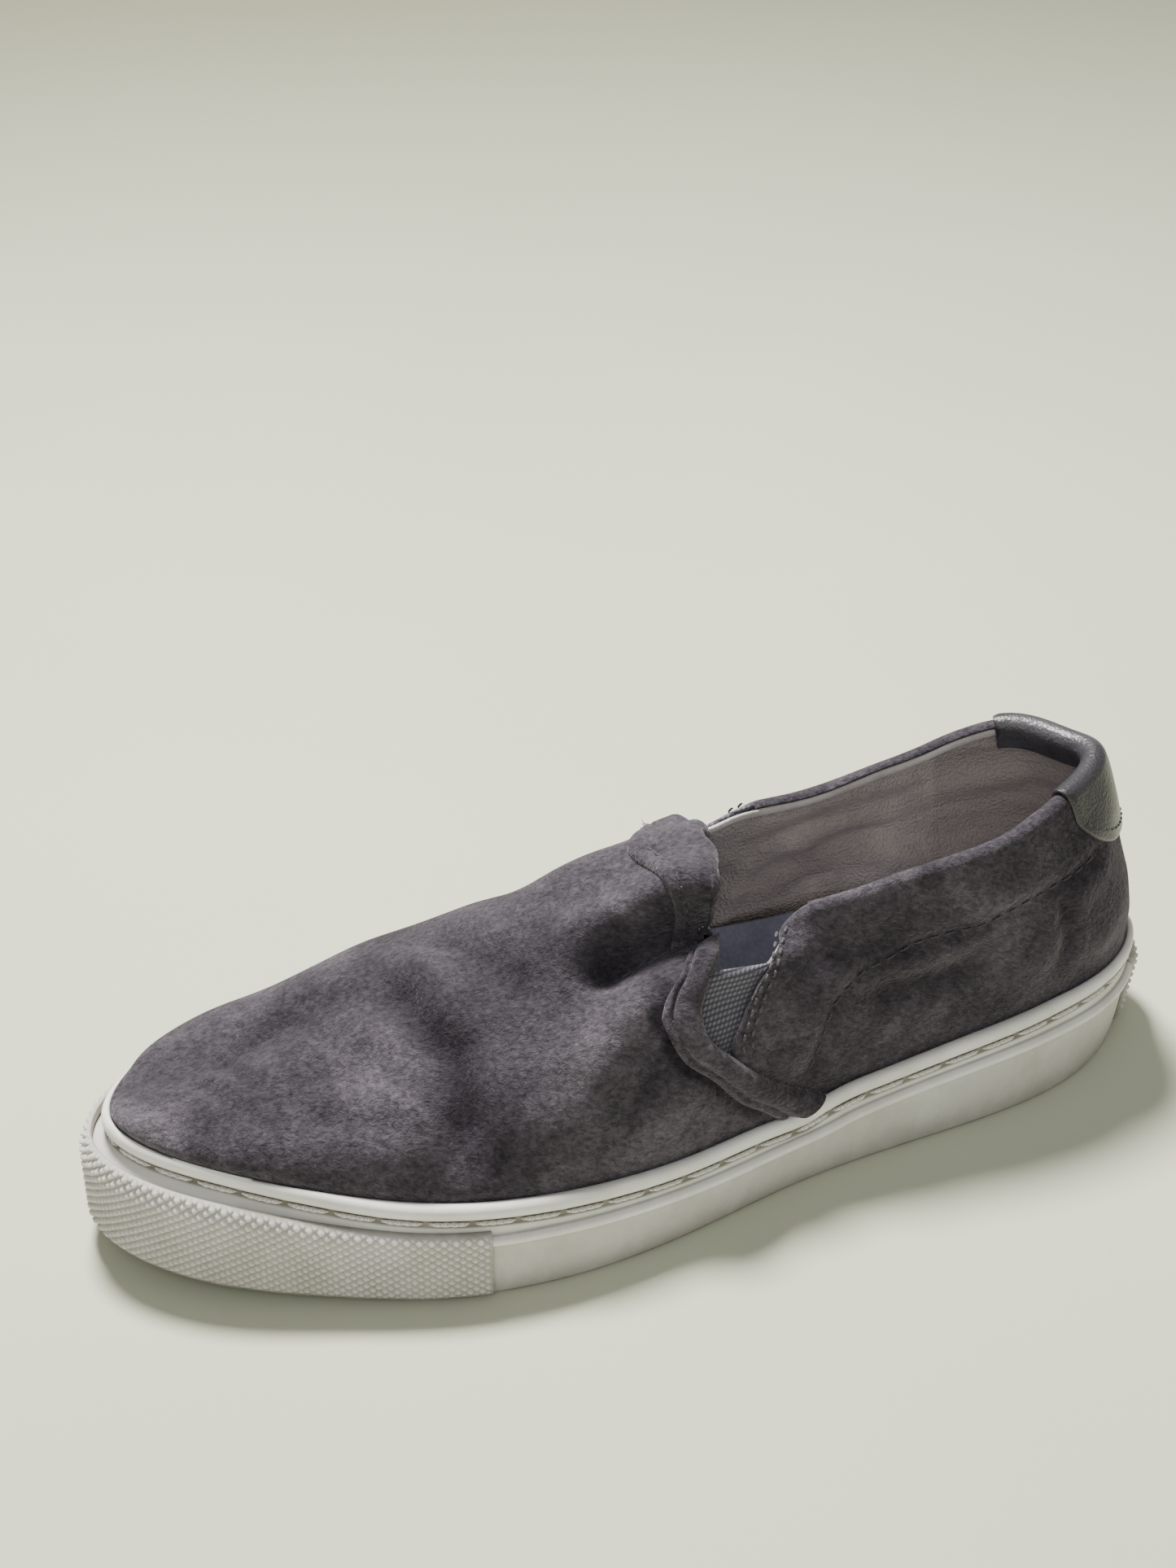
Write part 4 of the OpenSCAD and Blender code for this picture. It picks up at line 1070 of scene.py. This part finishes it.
class OBJECT_OT_heel_layers(bpy.types.Operator):
    """Quarter linings, heel counter and collar foam: layers inside the quarters"""
    bl_idname = "moccasin.heel_layers"
    bl_label = "Layers inside the quarters"

    def execute(self, context):
        c = upper()
        a = -c.skin - c.core - 0.2
        w = np.r_[-0.85, -0.4, np.linspace(0, 1, 44)]
        for side, node in ((1, "lateral"), (-1, "medial")):
            u, v = heel_grid(side, 0, w, 120, LINING_EDGE if side < 0
                             else [(a, b - 3) for a, b in QUARTER_EDGE])
            def grid(lift):
                p, n = on(u, v, lift), normal_of(arch, u, v)
                fold = 0.35 * np.sin(p[..., 2] / 1.9 + 0.9 * np.sin(p[..., 0] / 9.0)) \
                    * ramp((p[..., 2] - 34) / 8) * ramp((1 - w) / 0.1)
                return p + n * (fold - 0.3 * ramp((1 - w) / 0.1))[..., None]
            obj = layer(f"Quarter_lining_{node}", -side, grid(a), grid(a - c.lining))
            # on the lining the point attribute only marks the heel pocket, behind its seam
            pocket = ramp((1.85 - np.minimum(u, 20 - u)) / 0.04 + 0.5)
            shade_and_soil(obj, np.stack([pocket, pocket]))
            dress(obj, lib("Lining_leather", lambda: None), "shoe", "lining_leather",
                  f"quarter_lining_{node}")

        def round_heel(lift, w, down, start, rows=60):
            g = []
            for side in (1, -1):
                u, v = heel_grid(side, 0, w, rows, QUARTER_EDGE, down, 0.006)
                g.append(on(u, v, lift)[start:])
            return np.concatenate([g[0], g[1][::-1]])
        a = -c.skin - 0.1
        w = np.r_[-0.9, -0.5, np.linspace(0, 0.5, 16)]
        obj = shell("Heel_counter", round_heel(a, w, 0, 18), round_heel(a - c.core, w, 0, 18),
                    flip=True)
        dress(obj, lib("Stiffened_felt", lambda: None), "shoe", "stiffener", "heel_counter")
        w = np.linspace(0.68, 1, 12)
        obj = shell("Collar_foam", round_heel(a, w, 0.012, 9),
                    round_heel(a - c.core, w, 0.012, 9), flip=True)
        dress(obj, lib("Latex_foam", lambda: None), "shoe", "foam", "collar_foam")
        return {"FINISHED"}


class OBJECT_OT_bead(bpy.types.Operator):
    """Topline bead: a round leather cord sewn just inside the rolled velour edge"""
    bl_idname = "moccasin.bead"
    bl_label = "Topline bead"

    def execute(self, context):
        u = np.linspace(-4.42, 3.62, 290)
        v = top(u)
        n = normal_of(arch, u % 20, v)
        up = arch(u % 20, v) - arch(u % 20, v - 0.01)
        up /= np.linalg.norm(up, axis=-1)[..., None]
        p = on(u % 20, v, -3.7) + up * 0.1
        obj = tubes("Topline_bead", sweep(p, n, 2.6, 1.5, 14)[None])
        dress(obj, leather("Bead_leather", "#b9b3af", "#cbc6c2", "#dad6d2", 0.5, 0, 0.9),
              "shoe", "bead_leather", "topline_binding")
        return {"FINISHED"}


class OBJECT_OT_heel_tab(bpy.types.Operator):
    """Heel tab: leather folded over the rim, with a rounded lower edge and a raised border"""
    bl_idname = "moccasin.heel_tab"
    bl_label = "Heel tab"

    def execute(self, context):
        u0 = np.linspace(-1.15, 1.15, 150)[:, None]
        u = u0 % 20
        t = top(u)
        low = t - 0.19 * np.clip(1 - np.abs(u0 / 1.18)**3, 0, 1)**0.5 - 0.01
        k = np.linspace(0, 1, 40)[None]
        side = 1 - np.clip((np.abs(u0) - 1.07) / 0.08, 0, 1)**2
        edge = np.minimum(np.clip(k * np.maximum(t - low, 1e-3) / 0.012, 0, 1), 1)
        lift = 0.2 + 1.15 * np.sqrt(1 - (1 - edge)**2 * 0.95) * (0.3 + 0.7 * side)
        v = low + (t - low) * k
        out, back = on(u + 0 * v, v, lift), on(u + 0 * v, v, 0.15)
        n = normal_of(arch, u, t)
        up = arch(u, t) - arch(u, t - 0.01)
        up /= np.linalg.norm(up, axis=-1)[..., None]
        a = np.radians(np.linspace(5, 175, 22))[None, :, None]
        c = on(u, t, -2.2) + up * 0.2
        fold = lambda r, h: c + r * np.cos(a) * n + h * np.sin(a) * up
        k2 = np.linspace(0.05, 1, 14)[None]
        v2 = t - 0.055 * k2
        last = 1.0 - np.clip((k2 - 0.8) / 0.2, 0, 1)**2 * 0.8
        g1 = np.concatenate([out, fold(3.55 * (0.75 + 0.25 * side[..., None]), 3.6),
                             on(u + 0 * v2, v2, -4.6 - 1.15 * last)], 1)
        g2 = np.concatenate([back, fold(2.35, 2.4), on(u + 0 * v2, v2, -4.55 + 0 * v2)], 1)
        obj = shell("Heel_tab", g1, g2)
        dress(obj, leather("Metallic_grey_leather", "#2c2a2e", "#39373b", "#4d4a50", 0.4, 0,
              0.8, 0.15), "shoe", "tab_leather", "heel_tab")
        return {"FINISHED"}


class OBJECT_OT_gores(bpy.types.Operator):
    """Gores: elastic set below the velour between vamp and quarter"""
    bl_idname = "moccasin.gores"
    bl_label = "Elastic gores"

    def execute(self, context):
        c = upper()
        a = -c.skin - 0.35
        v = np.linspace(0.22, 1, 40)
        for side, node in ((1, "lateral"), (-1, "medial")):
            def grid(lift):
                j = np.linspace(0, 1, 44)[:, None]
                high = (0.487 + 0.088 * j) if side > 0 else (0.55 + 0.05 * j)
                vv = 0.22 + (high - 0.22) * np.linspace(0, 1, 40)[None]
                x0 = rule(QUARTER_EDGE, vv) - 6
                x1 = np.minimum(rule(BAND_BACK, vv) + 5, 6)
                u = find(side, x0 * (1 - j) + x1 * j + lag(side, vv))
                return on(u, vv, lift)
            obj = layer(f"Gore_{node}", -side, grid(a), grid(a - 0.9))
            dress(obj, lib("Woven_elastic", lambda: elastic(c)), "stretch", "elastic",
                  f"gore_{node}")
        return {"FINISHED"}


def strip_grid(side, c, v, wide=11):
    """Facing band: a flat strip across whose section the lift is a rounded bar, sunk in front
    along the seam."""
    s = np.linspace(0, 1, wide * 2 + 1)[:, None]
    x0, x1 = rule(BAND_BACK, v) + lag(side, v), rule(BAND_FRONT, v) + lag(side, v)
    u = find(side, x0 * (1 - s) + x1 * s)
    q = np.clip(s / 0.78, 0, 1)
    tube = np.clip(1 - np.abs(2 * q - 1)**2.6, 0, 1)**0.5
    lip = 0.55 * np.clip(1 - np.abs((s - 0.88) / 0.12)**3, 0, 1)**0.5
    lift = 0.12 + c.band * np.maximum(tube, lip) * (0.9 + 0.2 * s)
    return u, lift


class OBJECT_OT_facings(bpy.types.Operator):
    """Facings: rolled velour strips over the joint of vamp and gore, down to the lip"""
    bl_idname = "moccasin.facings"
    bl_label = "Facing bands"

    def execute(self, context):
        c = upper()
        v = np.linspace(-0.05, 0.628, 120)[None]
        for side, node in ((1, "lateral"), (-1, "medial")):
            u, lift = strip_grid(side, c, np.clip(v, 0, 1))
            end = np.clip((0.628 - v) / 0.03, 0, 1)**0.5
            a = on(u, v + 0 * lift, lift * (0.25 + 0.75 * end) + 0 * u)
            b = on(u, v + 0 * lift, 0.05 + 0 * u)
            obj = layer(f"Facing_{node}", -side, a, b)
            dress(obj, velour_finish(), "bend", "velour", f"facing_{node}")
        return {"FINISHED"}


class OBJECT_OT_throat_band(bpy.types.Operator):
    """Throat band: velour strip over the top of the throat, rolled round its rear edge"""
    bl_idname = "moccasin.throat_band"
    bl_label = "Throat band"

    def execute(self, context):
        c = upper()
        v = np.r_[np.linspace(0.645, 1, 70)]
        s = np.linspace(0, 1, 26)
        lead = (1 - s)[:, None] * (10.5 + 12 * ramp((v - 0.7) / 0.3))[None]
        bar = np.sqrt(np.clip(1 - (1 - np.clip(s / 0.16, 0, 1))**2, 0, 1))
        out = 0.15 + 1.75 * bar - 0.85 * np.exp(-((s - 0.3) / 0.05)**2)
        a = np.radians(np.linspace(0, 180, 18))
        def half(side, lift_a, r, inner):
            x0 = seam(side, VAMP_EDGE, v)[None]
            body = on(find(side, x0 + lead), v[None], lift_a[:, None])
            centre = on(find(side, x0[0]), v, -2.0)
            n = normal_of(arch, find(side, x0[0]), v)
            back = on(find(side, x0[0] - 1), v, -2.0) - centre
            back -= n * np.sum(back * n, -1)[:, None]
            back /= np.linalg.norm(back, axis=-1)[:, None]
            roll = centre[None] + r * (np.cos(a)[:, None, None] * n
                                       + 0.85 * np.sin(a)[:, None, None] * back)
            tail = np.linspace(1, 6, 6)[:, None]
            under = on(find(side, x0 + tail), v[None], inner + 0 * tail)
            return np.concatenate([body, roll, under])
        def whole(lift, r, inner):
            g = [half(side, lift, r, inner) for side in (1, -1)]
            return np.concatenate([g[0], g[1][:, :-1][:, ::-1]], 1)
        obj = shell("Throat_band", whole(out, 3.9, -5.9), whole(0.05 + 0 * s, 2.75, -4.6),
                    flip=True)
        dress(obj, velour_finish(), "throat", "velour", "throat_binding")
        return {"FINISHED"}


class OBJECT_OT_upper_stitching(bpy.types.Operator):
    """Stitch rows of the upper, each a dashed line of threads along a path on the arch"""
    bl_idname = "moccasin.upper_stitching"
    bl_label = "Stitching of the upper"

    def execute(self, context):
        c = upper()
        grey = thread("Grey_sewing_thread", "#514d53", "#302d32")
        dark = thread("Dark_sewing_thread", "#3f3c41", "#201e22")
        flip = lambda path, side: [(q[0] if side > 0 else 20 - q[0], q[1]) for q in path]
        rows = merge([dash(flip(COUNTER, side), c.tack * 1.5, 0.7, 0.25) for side in (1, -1)])
        dress(stitches("Quarter_stitching", *rows, 0.55, 0.45, dive=0.4), dark, "shoe",
              "grey_thread", "quarter_stitching")
        rows = []
        for side in (1, -1):
            for back in (-2.4, -5.2):
                v = np.linspace(0.3, 0.545, 12)
                u = find(side, rule(QUARTER_EDGE, v) + back + lag(side, v))
                rows.append(dash(np.stack([u, v], 1), c.tack, 0.6, 0.3))
        dress(stitches("Gore_stitching", *merge(rows), 0.8, 0.55, dive=0.35), grey, "shoe",
              "grey_thread", "gore_stitching")
        rows = []
        for side in (1, -1):
            v = np.linspace(0.14, 0.6, 20)
            x = rule(BAND_BACK, v) * 0.22 + rule(BAND_FRONT, v) * 0.78
            rows.append(dash(np.stack([find(side, x + lag(side, v)), v], 1), c.tack, 0.62, 1.15))
        dress(stitches("Facing_stitching", *merge(rows), 0.6, 0.5, dive=0.4), dark, "bend",
              "grey_thread", "facing_stitching")
        rows = []
        for side in (1, -1):
            v = np.linspace(0.68, 0.995, 20)
            x = seam(side, VAMP_EDGE, v) + (10.5 + 12 * ramp((v - 0.7) / 0.3)) * 0.7
            rows.append(dash(np.stack([find(side, x), v], 1), c.tack, 0.62, 1.25))
        dress(stitches("Throat_stitching", *merge(rows), 0.6, 0.5, dive=0.4), dark, "throat",
              "grey_thread", "throat_stitching")
        u0 = np.linspace(-1.08, 1.08, 60)
        t = top(u0)
        low = t - 0.19 * np.clip(1 - np.abs(u0 / 1.18)**3, 0, 1)**0.5
        dress(stitches("Tab_stitching", *dash(np.stack([u0, low + 0.025], 1), 2.6, 0.62, 1.5),
                       0.5, 0.45, dive=0.4), dark, "shoe", "grey_thread", "tab_stitching")
        return {"FINISHED"}


class OBJECT_OT_loose_threads(bpy.types.Operator):
    """Frayed ends at the lower corners of the throat: thin curled threads, each a helix-like
    arc from one root"""
    bl_idname = "moccasin.loose_threads"
    bl_label = "Loose threads"

    def execute(self, context):
        rng = np.random.default_rng(3)
        k = np.linspace(0, 1, 12)
        rings = []
        for side, u, v, n in ((1, float(find(1, -10.0)), 0.665, 7), (-1, float(find(-1, -12.0)), 0.67, 16)):
            base = on(u, v, 1.0)
            nrm = normal_of(arch, np.array(u), np.array(v))
            for _ in range(n):
                a, b = rng.normal(size=3), rng.normal(size=3)
                a, b = a / np.linalg.norm(a), b / np.linalg.norm(b)
                ln = rng.uniform(1.2, 3.2)
                p = base + rng.normal(size=3) * 0.8 + nrm * k[:, None] * ln * 0.45 \
                    + a * k[:, None] * ln * 0.5 + b * np.sin(k * 4)[:, None] * ln * 0.22
                side_dir = np.cross(nrm, a)
                rings.append(sweep(p, np.broadcast_to(side_dir / np.linalg.norm(side_dir),
                                                      p.shape), 0.28, 0.28, 5))
        obj = tubes("Loose_threads", np.stack(rings))
        dress(obj, thread("Frayed_thread", "#cfcbd2", "#9a969e"), "throat", "white_thread")
        return {"FINISHED"}


class OBJECT_OT_stage(bpy.types.Operator):
    """Floor, soft lights and the camera"""
    bl_idname = "moccasin.stage"
    bl_label = "Stage"

    def execute(self, context):
        y = np.linspace(-4, 4, 9)
        g = np.stack(np.meshgrid(y, y, indexing="ij") + [np.zeros((9, 9))], -1) * 1000
        floor = make("Floor", g, quads_of(9, 9))
        floor.data.materials.append(floor_finish())
        floor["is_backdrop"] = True

        def lamp(name, place, aim, size, watts, hexa):
            data = bpy.data.lights.new(name, "AREA")
            data.shape, data.size, data.energy = "DISK", size, watts
            data.color = linear(hexa)[:3]
            obj = bpy.data.objects.new(name, data)
            bpy.context.collection.objects.link(obj)
            z = np.array(place) - np.array(aim)
            z = z / np.linalg.norm(z)
            x = np.cross((0.0, 1.0, 0.0), z)
            x /= np.linalg.norm(x)
            m = np.eye(4)
            m[:3, 0], m[:3, 1], m[:3, 2], m[:3, 3] = x, np.cross(z, x), z, place
            obj.matrix_world = Matrix(m.tolist())
        lamp("Key", (0.1, -0.5, 1.2), (0, 0, 0.03), 0.3, 46, "#fffdf8")
        lamp("Fill", (0.5, 1.1, 1.0), (0, 0, 0.03), 1.1, 6, "#f6f8f4")
        world = bpy.data.worlds.new("Room")
        world.use_nodes = True
        world.node_tree.nodes["Background"].inputs["Color"].default_value = linear("#eef0ee")
        world.node_tree.nodes["Background"].inputs["Strength"].default_value = 0.36
        bpy.context.scene.world = world

        data = bpy.data.cameras.new("Camera")
        data.sensor_width, data.lens = 36, 56.04
        cam = bpy.data.objects.new("Camera", data)
        bpy.context.collection.objects.link(cam)
        right = np.array([-0.93819, 0.34612, 0.0])
        back = np.array([0.29028, 0.78683, 0.54464])
        m = np.eye(4)
        m[:3, 0], m[:3, 1], m[:3, 2] = right, np.cross(back, right), back
        m[:3, 3] = (0.1860, 0.4612, 0.4275)
        cam.matrix_world = Matrix(m.tolist())
        bpy.context.scene.camera = cam
        return {"FINISHED"}


PIECES = (OBJECT_OT_cup_sole, OBJECT_OT_bumpers, OBJECT_OT_sole_stitching, OBJECT_OT_tread,
          OBJECT_OT_footbed, OBJECT_OT_vamp, OBJECT_OT_vamp_layers, OBJECT_OT_quarters,
          OBJECT_OT_heel_layers, OBJECT_OT_bead, OBJECT_OT_heel_tab, OBJECT_OT_gores,
          OBJECT_OT_facings, OBJECT_OT_throat_band, OBJECT_OT_upper_stitching,
          OBJECT_OT_loose_threads, OBJECT_OT_stage)


class VIEW3D_PT_moccasin(bpy.types.Panel):
    """Lists the settings and the pieces"""
    bl_idname = "VIEW3D_PT_moccasin"
    bl_label = "Slip-on moccasin"
    bl_space_type = "VIEW_3D"
    bl_region_type = "UI"
    bl_category = "Moccasin"

    def draw(self, context):
        for group in (context.scene.moccasin_sole, context.scene.moccasin_upper):
            for key in group.__annotations__:
                self.layout.prop(group, key)
        for cls in PIECES:
            self.layout.operator(cls.bl_idname)


def register():
    for cls in (SoleSettings, UpperSettings, *PIECES, VIEW3D_PT_moccasin):
        bpy.utils.register_class(cls)
    bpy.types.Scene.moccasin_sole = bpy.props.PointerProperty(type=SoleSettings)
    bpy.types.Scene.moccasin_upper = bpy.props.PointerProperty(type=UpperSettings)


def unregister():
    del bpy.types.Scene.moccasin_sole, bpy.types.Scene.moccasin_upper
    for cls in reversed((SoleSettings, UpperSettings, *PIECES, VIEW3D_PT_moccasin)):
        bpy.utils.unregister_class(cls)


def main():
    register()
    for cls in PIECES:
        group, name = cls.bl_idname.split(".")
        getattr(getattr(bpy.ops, group), name)()
    low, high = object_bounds()
    {"cad": [list(CAD_LOW), list(CAD_HIGH)], "visual": [list(low), list(high)]}


if __name__ == "__main__":
    main()
